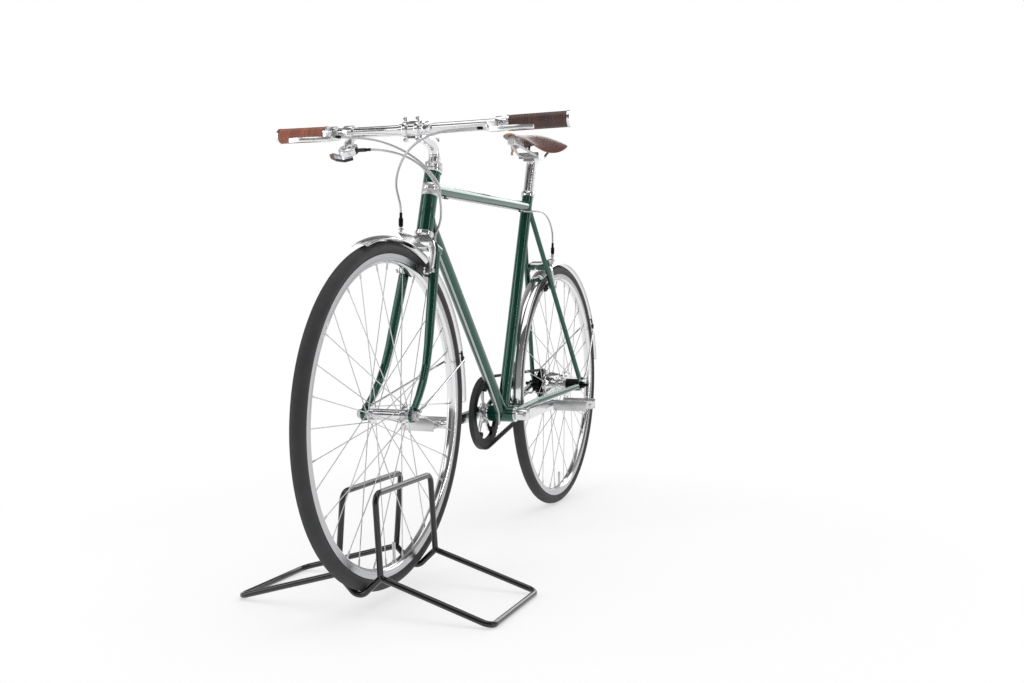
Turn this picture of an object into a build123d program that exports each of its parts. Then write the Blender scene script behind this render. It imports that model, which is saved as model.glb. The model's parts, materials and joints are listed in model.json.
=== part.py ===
"""City bicycle with a belt drive, standing with its front wheel in a wire wheel stand.

Millimetres. X points forward, Y to the rider's left, Z up. The origin is on the floor,
in the middle of the overall length. The rear tyre and the stand rest on Z = 0; the stand
holds the front tyre a little off the floor, so the bicycle's own level is pitched nose up.
"""
from build123d import *
from math import asin, atan2, cos, degrees, pi, radians, sin, sqrt, tan
import os

os.makedirs("parts", exist_ok=True)

# ---------------------------------------------------------------- driving dimensions
# wheels
TYRE_R = 341            # outer radius of the tyre
TYRE_W = 30             # width of the tyre
RIM_R = TYRE_R - 24     # outer radius of the rim's flanges
RIM_W = 21.6            # width of the rim over its brake tracks
RIM_DEPTH = 19          # depth of the rim from flange to spoke bed
SPOKE_R = 1.0           # radius of a spoke
SPOKES = 32             # spokes in a wheel
WHEELBASE = 1045        # front axle to rear axle
LIFT = 21.5             # front tyre's height over the floor, on the stand
STAY_ROOM = TYRE_R + 90         # bottom bracket to rear axle that the rear fender needs

# drive: toothed belt, 11 mm pitch
BELT_PITCH = 11
RING_TEETH = 52
COG_TEETH = 24
BELT_W = 12             # width of the belt
BELT_LINE = 46.5        # belt's middle from the frame's middle plane, on the right
BELT_BACK = 1.7         # belt thickness outside its pitch line
BELT_LAND = 0.9         # belt thickness inside its pitch line, between teeth
TOOTH_H = 3.4           # height of a belt tooth
MESH_GAP = 0.25         # clearance between the belt and its wheels' teeth

# frame
BB_DROP = 49            # axle height over the bottom bracket's centre
BB_SHELL_R = 20
BB_SHELL_W = 68
BB_BORE_R = 17.2
SEAT_ANGLE = 73.0
SEAT_TUBE_L = 596       # bottom bracket's centre to the tube's top
SEAT_TUBE_R = 14.3
TUBE_WALL = 1.1
HEAD_ANGLE = 73.5
HEAD_TUBE_L = 134
HEAD_TUBE_R = 17.5
HEAD_TUBE_WALL = 2.2
HEAD_TUBE_UP = TYRE_R + 60      # foot of the head tube from the axle's foot on the steering axis
FORK_RAKE = 48          # front axle ahead of the steering axis
TOP_TUBE_R = 12.9
TOP_AT_HEAD = 98        # top tube's centre line above the head tube's foot
TOP_AT_SEAT = SEAT_TUBE_L - 39  # top tube's centre line from the bottom bracket's centre
DOWN_TUBE_R = 14.3
DOWN_AT_HEAD = 34       # down tube's centre line above the head tube's foot
REAR_OLD = 135          # rear dropouts' inside faces apart
FRONT_OLD = 100         # fork ends' inside faces apart
DROPOUT_T = 5           # thickness of the frame's and the fork's end plates
CHAINSTAY_R = 8.5
SEATSTAY_R = 6.5
BRIDGE_R = 5.5

# steering
HEADSET_R = 20.5        # radius of the headset's cups
HEADSET_LOW = 12        # height of the lower cup
HEADSET_HIGH = 8        # height of the upper cup
STEERER_R = 12.7
QUILL_R = 11.1
RUNNING = 0.05          # radial clearance of a shaft that turns in its bearing
SEAT_GAP = 0.3          # gap between pieces that only rest against each other
CROWN_Y = 31            # fork blade's centre line from the middle, at the crown
BLADE_R = 11            # blade's radius at the crown
BLADE_TIP_R = 7         # blade's radius at the fork end

# cockpit
BAR_R = 11.1            # handlebar's radius outside the clamp
BAR_CLAMP_R = 12.7      # handlebar's radius in the clamp
BAR_HALF = 326          # handlebar's half width
BAR_SWEEP = 22          # handlebar's end behind its middle
BAR_RISE = 7            # handlebar's end above its middle
BAR_AHEAD = 112.2       # handlebar's middle ahead of the steering axis, square to it
BAR_UP = 180.6          # and along the steering axis from the head tube's foot
GRIP_L = 112
GRIP_R = 16
CAP_L = 6

# saddle
SEATPOST_R = 13.1
SEATPOST_UP = 92        # seatpost's top above the seat tube's top
SADDLE_L = 282
SADDLE_BACK = 112       # saddle's tail behind its clamp
SADDLE_UP = 62          # saddle's top over its clamp

# fenders
FENDER_R = TYRE_R + 11  # outer radius of a fender
FENDER_W = 35           # width of a fender
FENDER_T = 1.2          # thickness of a fender's sheet
FENDER_DROP = 7         # a fender's edges lie this much nearer the axle than its crest
FRONT_FENDER_TIP = 70   # fenders' ends and stays' clips, from straight ahead towards up
FRONT_FENDER_END = 180
FRONT_CLIP = 163.5
REAR_FENDER_TIP = -5.5
REAR_FENDER_END = 170
REAR_CLIP = 151.5

# cranks
CRANK_L = 172
CRANK_TILT = 5          # the left crank points backwards and this many degrees up
PEDAL_W = 96
PEDAL_L = 84

# wheel stand
ROD_R = 6               # radius of the stand's rod
STAND_L = 240           # stand's length, between its rods' centres
HOOP_TOP = 228          # hoops' top rod over the floor
HOOP_GAP = 34           # hoops' tops from the middle plane
FOOT_Y = 268            # outer floor bars from the middle plane
JOINT_Y = 45            # where the hoops' legs meet the floor arms, from the middle plane
JOINT_Z = 72            # and over the floor
ROD_BEND = 18           # bend radius of the rod's centre line at the hoops and feet
JOINT_BEND = 9          # and where the rods meet

# ---------------------------------------------------------------- reference geometry
pitch = degrees(asin(LIFT / WHEELBASE))         # bicycle's own level over the floor's


def dir_xz(angle):
    """Unit vector in the middle plane, at an angle from the bicycle's own level towards up."""
    return Vector(cos(radians(angle + pitch)), 0, sin(radians(angle + pitch)))


def towards(start, end):
    """Plane square to the line between two points, at the first."""
    return Plane(origin=start, z_dir=end - start)


ring_r = RING_TEETH * BELT_PITCH / (2 * pi)     # pitch radii
cog_r = COG_TEETH * BELT_PITCH / (2 * pi)
belt_wanted = 2 * STAY_ROOM + pi * (ring_r + cog_r) + (ring_r - cog_r) ** 2 / STAY_ROOM
belt_teeth = round(belt_wanted / BELT_PITCH)    # 117 teeth
belt_free = belt_teeth * BELT_PITCH - pi * (ring_r + cog_r)
chainstay = (belt_free + sqrt(belt_free**2 - 8 * (ring_r - cog_r) ** 2)) / 4

bike_ahead = dir_xz(0)
bike_up = dir_xz(90)
fender_back = FENDER_R * dir_xz(REAR_FENDER_END).X      # rear fender's end from the rear axle
rear_x = -(WHEELBASE * bike_ahead.X + TYRE_R + fender_back) / 2
rear_axle_at = Vector(rear_x, 0, TYRE_R)
front_axle_at = rear_axle_at + bike_ahead * WHEELBASE
bb_at = rear_axle_at + bike_ahead * sqrt(chainstay**2 - BB_DROP**2) - bike_up * BB_DROP

seat_dir = dir_xz(180 - SEAT_ANGLE)
steer_dir = dir_xz(180 - HEAD_ANGLE)
steer_ahead = dir_xz(90 - HEAD_ANGLE)
head_foot = front_axle_at - steer_ahead * FORK_RAKE + steer_dir * HEAD_TUBE_UP
head_top = head_foot + steer_dir * HEAD_TUBE_L
seat_top = bb_at + seat_dir * SEAT_TUBE_L
steer = Plane(origin=head_foot, x_dir=steer_ahead, z_dir=steer_dir)
seat = Plane(origin=bb_at, x_dir=dir_xz(90 - SEAT_ANGLE), z_dir=seat_dir)

# planes whose X is the bicycle's own level and whose Z is its right: profiles in them are side views
rear_side = Plane(origin=rear_axle_at, x_dir=bike_ahead, z_dir=(0, -1, 0))
front_side = Plane(origin=front_axle_at, x_dir=bike_ahead, z_dir=(0, -1, 0))
bb_side = Plane(origin=bb_at, x_dir=bike_ahead, z_dir=(0, -1, 0))

# ---------------------------------------------------------------- cores used to cope tubes
with BuildPart(steer) as head_core:
    Cylinder(HEAD_TUBE_R, HEAD_TUBE_L, align=(Align.CENTER, Align.CENTER, Align.MIN))
with BuildPart(seat) as seat_core:
    Cylinder(SEAT_TUBE_R, SEAT_TUBE_L, align=(Align.CENTER, Align.CENTER, Align.MIN))
with BuildPart(bb_side) as bb_core:
    Cylinder(BB_SHELL_R, BB_SHELL_W)


# ---------------------------------------------------------------- frame
def frame_tube(start, end, radius, wall, *cores):
    """Round tube between two points, coped to the solids it meets."""
    with BuildPart() as tube:
        with BuildSketch(towards(start, end)):
            Circle(radius)
            Circle(radius - wall, mode=Mode.SUBTRACT)
        extrude(amount=(end - start).length)
        for core in cores:
            add(core.part, mode=Mode.SUBTRACT)
    return tube.part.solids().sort_by(SortBy.VOLUME)[-1]


with BuildPart(steer) as head_tube:
    Cylinder(HEAD_TUBE_R, HEAD_TUBE_L, align=(Align.CENTER, Align.CENTER, Align.MIN))
    Cylinder(HEAD_TUBE_R - HEAD_TUBE_WALL, HEAD_TUBE_L,
             align=(Align.CENTER, Align.CENTER, Align.MIN), mode=Mode.SUBTRACT)
head_tube.part.label = "head_tube"
export_step(head_tube.part, "parts/head_tube.step")

with BuildPart() as seat_tube:
    with BuildSketch(seat):
        Circle(SEAT_TUBE_R)
        Circle(SEATPOST_R + RUNNING, mode=Mode.SUBTRACT)
    extrude(amount=SEAT_TUBE_L)
    add(bb_core.part, mode=Mode.SUBTRACT)
seat_tube.part.label = "seat_tube"
export_step(seat_tube.part, "parts/seat_tube.step")

# cable stops under the top tube: one at each end of the bare inner wire
top_rear = bb_at + seat_dir * TOP_AT_SEAT
top_front = head_foot + steer_dir * TOP_AT_HEAD
top_run = (top_front - top_rear).normalized()
top_down = Vector(top_run.Z, 0, -top_run.X)     # square to the top tube, downwards
STOP_R = 3.4
STOP_L = 12
STOP_LEFT = 6                    # wire's line from the middle plane, under the tube's left
STOP_REAR = 62                   # stops from the tube's ends
STOP_FRONT = 68
WIRE_R = 0.8
stop_out = TOP_TUBE_R + STOP_R - 0.6
stop_off = top_down * sqrt(stop_out**2 - STOP_LEFT**2) + Vector(0, STOP_LEFT, 0)
stop_rear_at = top_rear + top_run * STOP_REAR + stop_off
stop_front_at = top_front - top_run * STOP_FRONT + stop_off
with BuildPart() as top_tube:
    add(frame_tube(top_rear, top_front, TOP_TUBE_R, TUBE_WALL, head_core, seat_core))
    for stop_at in (stop_rear_at, stop_front_at):
        with BuildSketch(towards(stop_at - top_run * STOP_L / 2, stop_at)):
            Circle(STOP_R)
        extrude(amount=STOP_L)
    for stop_at in (stop_rear_at, stop_front_at):
        with BuildSketch(towards(stop_at - top_run * STOP_L, stop_at)):
            Circle(WIRE_R + SEAT_GAP)
        extrude(amount=2 * STOP_L, mode=Mode.SUBTRACT)
top_tube.part.label = "top_tube"
export_step(top_tube.part, "parts/top_tube.step")

down_front = head_foot + steer_dir * DOWN_AT_HEAD
with BuildPart() as down_tube:
    add(frame_tube(bb_at, down_front, DOWN_TUBE_R, TUBE_WALL, head_core, seat_core, bb_core))
down_tube.part.label = "down_tube"
export_step(down_tube.part, "parts/down_tube.step")

with BuildPart(bb_side) as bottom_bracket_shell:
    Cylinder(BB_SHELL_R, BB_SHELL_W)
    Cylinder(BB_BORE_R, BB_SHELL_W, mode=Mode.SUBTRACT)
bottom_bracket_shell.part.label = "bottom_bracket_shell"
export_step(bottom_bracket_shell.part, "parts/bottom_bracket_shell.step")

# rear ends: a slotted plate on each side, with an eyelet for a carrier
DROPOUT_R = 17
REAR_AXLE_R = 5
EYELET_R = 2.5
EYELET_OUT = 21
EYELET_TURN = radians(128)      # eyelet's place round the rear axle, from straight ahead
STAY_Y = REAR_OLD / 2 + DROPOUT_T / 2
CHAINSTAY_Y = 21        # chainstay's centre line at the shell, from the middle
CHAINSTAY_KNEE_Y = 30   # and at its knee
TIP_OUT = 27            # stays' tips from the axle
chain_dir = (bb_at - rear_axle_at).normalized()
SEATSTAY_UP = SEAT_TUBE_L - 45  # where the seat stays' lines meet the seat tube's
stay_top = bb_at + seat_dir * SEATSTAY_UP
chain_turn = atan2(bb_at.Z - rear_axle_at.Z, bb_at.X - rear_axle_at.X) - radians(pitch)
stay_turn = atan2(stay_top.Z - rear_axle_at.Z, stay_top.X - rear_axle_at.X) - radians(pitch)


def dropout(side):
    """Rear end plate on one side: +1 left, -1 right."""
    with BuildPart() as plate:
        with BuildSketch(rear_side.offset(-side * STAY_Y)):
            Circle(DROPOUT_R)
            with Locations((EYELET_OUT * cos(EYELET_TURN), EYELET_OUT * sin(EYELET_TURN))):
                Circle(EYELET_R + 3)
            for turn in (stay_turn, chain_turn):
                with Locations((TIP_OUT * 0.6 * cos(turn), TIP_OUT * 0.6 * sin(turn))):
                    Rectangle(TIP_OUT * 1.2, 2 * BLADE_TIP_R - 1, rotation=degrees(turn))
            Circle(REAR_AXLE_R + RUNNING, mode=Mode.SUBTRACT)
            with Locations((-DROPOUT_R / 2, 0)):
                Rectangle(DROPOUT_R, 2 * (REAR_AXLE_R + RUNNING), mode=Mode.SUBTRACT)
            with Locations((EYELET_OUT * cos(EYELET_TURN), EYELET_OUT * sin(EYELET_TURN))):
                Circle(EYELET_R, mode=Mode.SUBTRACT)
        extrude(amount=DROPOUT_T / 2, both=True)
    return plate.part


chainstays = {}
for side, name in ((1, "left"), (-1, "right")):
    shell_end = bb_at + Vector(0, side * CHAINSTAY_Y, 0)
    knee = rear_axle_at + chain_dir * (chainstay * 0.62) + Vector(0, side * CHAINSTAY_KNEE_Y, 0)
    tip = rear_axle_at + chain_dir * TIP_OUT + Vector(0, side * STAY_Y, 0)
    with BuildPart() as chainstay_part:
        with BuildSketch(Plane(origin=shell_end, z_dir=knee - shell_end)):
            Circle(CHAINSTAY_R)
        with BuildSketch(Plane(origin=knee, z_dir=tip - shell_end)):
            Circle(CHAINSTAY_R)
        loft(ruled=True)
        with BuildSketch(Plane(origin=knee, z_dir=tip - shell_end)):
            Circle(CHAINSTAY_R)
        with BuildSketch(Plane(origin=tip, z_dir=tip - knee)):
            Circle(BLADE_TIP_R)
        loft(ruled=True)
        add(dropout(side))
        add(bb_core.part, mode=Mode.SUBTRACT)
    chainstays[name] = chainstay_part.part
    chainstay_part.part.label = f"chainstay_{name}"
    export_step(chainstay_part.part, f"parts/chainstay_{name}.step")

# seat stays and the brake bridge between them
SEATSTAY_TOP_Y = 8      # stays' centre lines from the middle, there
RIM_TRACK_R = RIM_R - 6         # brake pads' distance from the axle
BRAKE_REACH = RIM_TRACK_R + 63  # rear brake's bolt from the axle
stay_share = BRAKE_REACH / (stay_top - rear_axle_at).length
bridge_at = rear_axle_at + (stay_top - rear_axle_at) * stay_share
bridge_y = STAY_Y + (SEATSTAY_TOP_Y - STAY_Y) * stay_share
stay_up = (stay_top - rear_axle_at).normalized()
stay_back = Vector(-stay_up.Z, 0, stay_up.X)     # square to the stays, backwards
BOLT_R = 3
with BuildPart() as seatstays:
    for side in (1, -1):
        top = stay_top + Vector(0, side * SEATSTAY_TOP_Y, 0)
        tip = rear_axle_at + stay_up * TIP_OUT + Vector(0, side * STAY_Y, 0)
        with BuildSketch(towards(tip, top)):
            Circle(SEATSTAY_R)
        extrude(amount=(top - tip).length)
    with BuildSketch(Plane(origin=bridge_at, z_dir=(0, 1, 0))):
        Circle(BRIDGE_R)
    extrude(amount=bridge_y, both=True)
    add(seat_core.part, mode=Mode.SUBTRACT)
    add(top_tube.part, mode=Mode.SUBTRACT)
    with BuildSketch(Plane(origin=bridge_at, z_dir=stay_back)):
        Circle(BOLT_R + RUNNING)
    extrude(amount=2 * BRIDGE_R, both=True, mode=Mode.SUBTRACT)
    for side_name in ("left", "right"):
        add(chainstays[side_name], mode=Mode.SUBTRACT)
seatstays.part.label = "seatstays"
export_step(seatstays.part, "parts/seatstays.step")

# ---------------------------------------------------------------- bearings and axles
CUP_T = 1.5             # lip of a headset cup over the head tube
with BuildPart() as headset_cups:
    with BuildSketch(Plane(origin=head_foot, x_dir=steer_ahead, z_dir=(0, -1, 0))):
        with BuildLine():
            Polyline((STEERER_R + RUNNING, 0), (HEADSET_R - CUP_T, 0), (HEADSET_R, -CUP_T),
                     (HEADSET_R, -HEADSET_LOW + 4), (HEADSET_R - 4, -HEADSET_LOW),
                     (STEERER_R + RUNNING, -HEADSET_LOW), close=True)
        make_face()
        with BuildLine():
            Polyline((STEERER_R + RUNNING, HEAD_TUBE_L), (HEADSET_R - CUP_T, HEAD_TUBE_L),
                     (HEADSET_R, HEAD_TUBE_L + CUP_T), (HEADSET_R, HEAD_TUBE_L + HEADSET_HIGH - 3),
                     (HEADSET_R - 3, HEAD_TUBE_L + HEADSET_HIGH),
                     (STEERER_R + RUNNING, HEAD_TUBE_L + HEADSET_HIGH), close=True)
        make_face()
    revolve(axis=Axis(head_foot, steer_dir))
headset_cups.part.label = "headset_cups"
export_step(headset_cups.part, "parts/headset_cups.step")

SPINDLE_R = 8.5
SPINDLE_HALF = 60
CUP_DEEP = 18
CUP_LIP = 3
with BuildPart(bb_side) as bottom_bracket_cups:
    for side in (1, -1):
        with BuildSketch(bb_side.offset(side * BB_SHELL_W / 2)):
            Circle(BB_SHELL_R - 1)
            Circle(SPINDLE_R + RUNNING, mode=Mode.SUBTRACT)
        extrude(amount=side * CUP_LIP)
        with BuildSketch(bb_side.offset(side * BB_SHELL_W / 2)):
            Circle(BB_BORE_R)
            Circle(SPINDLE_R + RUNNING, mode=Mode.SUBTRACT)
        extrude(amount=-side * CUP_DEEP)
bottom_bracket_cups.part.label = "bottom_bracket_cups"
export_step(bottom_bracket_cups.part, "parts/bottom_bracket_cups.step")

# ---------------------------------------------------------------- fork
CROWN_TOP = HEADSET_LOW + SEAT_GAP      # crown's top below the head tube's foot
CROWN_FOOT = 46
CROWN_SHOULDER = 34
CROWN_T = 24
CROWN_NECK = 17
BRAKE_UP = 28           # front brake's bolt below the head tube's foot
LOCKNUT_H = 13
STEERER_TOP = HEAD_TUBE_L + HEADSET_HIGH + SEAT_GAP + LOCKNUT_H - 1
crown_plane = Plane(origin=head_foot, x_dir=(0, 1, 0), z_dir=steer_ahead)


def steer_at(ahead, left, up):
    """Point given along the steering axis' own directions, from the head tube's foot."""
    return head_foot + steer_ahead * ahead + Vector(0, left, 0) + steer_dir * up


with BuildPart() as fork_crown:
    with BuildSketch(crown_plane):
        with BuildLine():
            outline = Polyline(
                (0, -CROWN_TOP), (CROWN_NECK, -CROWN_TOP), (CROWN_Y + BLADE_R, -CROWN_SHOULDER),
                (CROWN_Y + BLADE_R, -CROWN_FOOT), (CROWN_Y - BLADE_R, -CROWN_FOOT),
                (CROWN_Y - BLADE_R - 4, -CROWN_FOOT + 5), (0, -CROWN_FOOT + 8))
            mirror(outline, about=Plane.YZ)
        make_face()
    extrude(amount=CROWN_T / 2, both=True)
    fillet(fork_crown.edges().filter_by(Axis(head_foot, steer_ahead))
           .group_by(Axis(head_foot, steer_dir))[-2], radius=8)
    with BuildSketch(steer.offset(-CROWN_FOOT + 12)):
        Circle(STEERER_R)
    extrude(amount=STEERER_TOP + CROWN_FOOT - 12)
    with BuildSketch(steer.offset(-CROWN_TOP)):
        Circle(QUILL_R + RUNNING)
    extrude(amount=STEERER_TOP + CROWN_TOP, mode=Mode.SUBTRACT)
    with BuildSketch(crown_plane):
        with Locations((0, -BRAKE_UP)):
            Circle(BOLT_R + RUNNING)
    extrude(amount=CROWN_T, both=True, mode=Mode.SUBTRACT)
fork_crown.part.label = "fork_crown"
export_step(fork_crown.part, "parts/fork_crown.step")

FRONT_AXLE_R = 4.5
FORK_END_R = 14
FORK_EYELET_TURN = radians(160)
FORK_END_Y = FRONT_OLD / 2 + DROPOUT_T / 2
BLADE_END = HEAD_TUBE_UP - 13   # blades' ends below the head tube's foot
BLADE_STRAIGHT = BLADE_END - 138        # where they begin to bend forwards
TIP_AHEAD = 44          # blade's tip ahead of the steering axis
blade_bends = [BLADE_STRAIGHT + share * (BLADE_END - BLADE_STRAIGHT) for share in (0.29, 0.54, 0.78, 1)]
blade_stations = (CROWN_FOOT, BLADE_STRAIGHT - 70, BLADE_STRAIGHT, *blade_bends)
for side, name in ((1, "left"), (-1, "right")):
    with BuildPart() as fork_blade:
        for down in blade_stations:
            share = (down - CROWN_FOOT) / (BLADE_END - CROWN_FOOT)
            bend = max(0, down - BLADE_STRAIGHT) / (BLADE_END - BLADE_STRAIGHT)
            lean = 2 * TIP_AHEAD * bend / (BLADE_END - BLADE_STRAIGHT)
            spread = (FORK_END_Y - CROWN_Y) / (BLADE_END - CROWN_FOOT)
            centre = steer_at(TIP_AHEAD * bend**2, side * (CROWN_Y + (FORK_END_Y - CROWN_Y) * share), -down)
            down_dir = steer_ahead * lean + Vector(0, side * spread, 0) - steer_dir
            if down == CROWN_FOOT:
                down_dir = -steer_dir
            with BuildSketch(Plane(origin=centre, x_dir=(0, 1, 0), z_dir=down_dir)):
                Circle(BLADE_R + (BLADE_TIP_R - BLADE_R) * share**1.5)
        loft(ruled=True)
        with BuildSketch(front_side.offset(-side * FORK_END_Y)):
            Circle(FORK_END_R)
            with Locations(Location((-4, FORK_END_R * 0.7), HEAD_ANGLE - 90)):
                Rectangle(2 * BLADE_TIP_R, FORK_END_R * 1.4)
            with Locations((EYELET_OUT * cos(FORK_EYELET_TURN), EYELET_OUT * sin(FORK_EYELET_TURN))):
                Circle(EYELET_R + 3)
            Circle(FRONT_AXLE_R + RUNNING, mode=Mode.SUBTRACT)
            with Locations((0, -FORK_END_R / 2)):
                Rectangle(2 * (FRONT_AXLE_R + RUNNING), FORK_END_R, mode=Mode.SUBTRACT)
            with Locations((EYELET_OUT * cos(FORK_EYELET_TURN), EYELET_OUT * sin(FORK_EYELET_TURN))):
                Circle(EYELET_R, mode=Mode.SUBTRACT)
        extrude(amount=DROPOUT_T / 2, both=True)
    fork_blade.part.label = f"fork_blade_{name}"
    export_step(fork_blade.part, f"parts/fork_blade_{name}.step")

with BuildPart(steer) as headset_locknut:
    with Locations((0, 0, HEAD_TUBE_L + HEADSET_HIGH + SEAT_GAP)):
        Cylinder(HEADSET_R - 1, LOCKNUT_H * 0.45, align=(Align.CENTER, Align.CENTER, Align.MIN))
    with Locations((0, 0, HEAD_TUBE_L + HEADSET_HIGH + SEAT_GAP + LOCKNUT_H * 0.45)):
        Cylinder(HEADSET_R - 2.5, LOCKNUT_H * 0.1, align=(Align.CENTER, Align.CENTER, Align.MIN))
    with BuildSketch(steer.offset(HEAD_TUBE_L + HEADSET_HIGH + SEAT_GAP + LOCKNUT_H * 0.55)):
        RegularPolygon(HEADSET_R - 1.5, 8)
    extrude(amount=LOCKNUT_H * 0.45)
    with BuildSketch(steer.offset(HEAD_TUBE_L + HEADSET_HIGH)):
        Circle(STEERER_R + RUNNING)
    extrude(amount=2 * LOCKNUT_H, mode=Mode.SUBTRACT)
headset_locknut.part.label = "headset_locknut"
export_step(headset_locknut.part, "parts/headset_locknut.step")

# ---------------------------------------------------------------- handlebar and stem
bar_mid = steer_at(BAR_AHEAD, 0, BAR_UP)
BAR_KNEE = 55           # the bar bends back here, from its middle
bar_knee = bar_mid + Vector(0, BAR_KNEE, 0)
bar_end = bar_mid - bike_ahead * BAR_SWEEP + Vector(0, BAR_HALF, 0) + bike_up * BAR_RISE
bar_out = (bar_end - bar_knee).normalized()
CLAMP_HALF = 21
BAR_WALL = 2.2
STRAP_Y = 14
STRAP_W = 9
CLAMP_R = 17.5


def on_bar(left):
    """Point on the bar's left half, this far from the middle plane."""
    return bar_knee + bar_out * ((left - BAR_KNEE) / bar_out.Y)


with BuildPart() as handlebar:
    with BuildLine() as bar_line:
        right_end = Vector(bar_end.X, -bar_end.Y, bar_end.Z)
        right_knee = Vector(bar_knee.X, -bar_knee.Y, bar_knee.Z)
        FilletPolyline(right_end, right_knee, bar_knee, bar_end, radius=150)
    with BuildSketch(Plane(origin=bar_line.line @ 0, z_dir=bar_line.line % 0)):
        Circle(BAR_R)
        Circle(BAR_R - BAR_WALL, mode=Mode.SUBTRACT)
    sweep(path=bar_line.line)
    with BuildSketch(Plane(origin=bar_mid, z_dir=(0, 1, 0))):
        Circle(BAR_CLAMP_R)
        Circle(BAR_R - BAR_WALL, mode=Mode.SUBTRACT)
    extrude(amount=CLAMP_HALF + 8, both=True)
handlebar.part.label = "handlebar"
export_step(handlebar.part, "parts/handlebar.step")

STEM_R = 12.6
STEM_TOP = 197          # stem's bend above the head tube's foot, on the steering axis
STEM_BEND = 26
QUILL_FOOT = 62
with BuildPart() as stem:
    with BuildLine() as stem_line:
        FilletPolyline(steer_at(0, 0, STEERER_TOP + 1.5), steer_at(0, 0, STEM_TOP),
                       steer_at(BAR_AHEAD - BAR_CLAMP_R - 2, 0, BAR_UP), radius=STEM_BEND)
    with BuildSketch(steer.offset(STEERER_TOP + 1.5)):
        Circle(STEM_R)
    sweep(path=stem_line.line)
    with BuildSketch(steer.offset(QUILL_FOOT)):
        Circle(QUILL_R)
    extrude(amount=STEERER_TOP + 2 - QUILL_FOOT)
    with BuildSketch(Plane(origin=bar_mid, z_dir=(0, 1, 0))):
        Circle(CLAMP_R)
    extrude(amount=CLAMP_HALF, both=True)
    with BuildSketch(Plane(origin=bar_mid, z_dir=(0, 1, 0))):
        Circle(BAR_CLAMP_R + RUNNING)
    extrude(amount=2 * CLAMP_HALF, both=True, mode=Mode.SUBTRACT)
    with Locations(bar_mid + Vector(CLAMP_R + 1, 0, 0)):
        Box(2 * CLAMP_R, 4 * CLAMP_HALF, 4 * CLAMP_R, mode=Mode.SUBTRACT)
stem.part.label = "stem"
export_step(stem.part, "parts/stem.step")

EAR_OUT = 21            # strap bolts above and below the bar's middle
with BuildPart() as stem_straps:
    for side in (1, -1):
        strap_at = bar_mid + Vector(0, side * STRAP_Y, 0)
        with BuildSketch(Plane(origin=strap_at, x_dir=(1, 0, 0), z_dir=(0, -1, 0))):
            Circle(CLAMP_R)
            with Locations((5, 0)):
                Rectangle(8, 2 * EAR_OUT + 9)
            Circle(BAR_CLAMP_R + RUNNING, mode=Mode.SUBTRACT)
            with Locations((-CLAMP_R + 1.6, 0)):
                Rectangle(2 * CLAMP_R, 4 * CLAMP_R, mode=Mode.SUBTRACT)
        extrude(amount=STRAP_W / 2, both=True)
stem_straps.part.label = "stem_straps"
export_step(stem_straps.part, "parts/stem_straps.step")

RING_L = 5
GRIP_FROM = BAR_HALF - GRIP_L - 5
grip_start = on_bar(GRIP_FROM)
with BuildPart() as grip_left:
    with BuildSketch(towards(grip_start, bar_end)):
        Circle(GRIP_R)
        Circle(BAR_R + RUNNING, mode=Mode.SUBTRACT)
    extrude(amount=(bar_end - grip_start).length - 1)
grip_left.part.label = "grip_left"
export_step(grip_left.part, "parts/grip_left.step")
with BuildPart() as grip_right:
    add(mirror(grip_left.part, about=Plane.XZ, mode=Mode.PRIVATE))
grip_right.part.label = "grip_right"
export_step(grip_right.part, "parts/grip_right.step")

with BuildPart() as grip_rings:
    with BuildSketch(towards(bar_end, bar_end + bar_out)):
        Circle(GRIP_R + 0.6)
    extrude(amount=CAP_L)
    fillet(grip_rings.edges().filter_by(GeomType.CIRCLE).sort_by(Axis.Y)[-1], radius=2)
    with BuildSketch(towards(on_bar(GRIP_FROM) - bar_out * RING_L, bar_end)):
        Circle(GRIP_R + 0.6)
        Circle(BAR_R + RUNNING, mode=Mode.SUBTRACT)
    extrude(amount=RING_L)
    mirror(about=Plane.XZ)
grip_rings.part.label = "grip_rings"
export_step(grip_rings.part, "parts/grip_rings.step")

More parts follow.
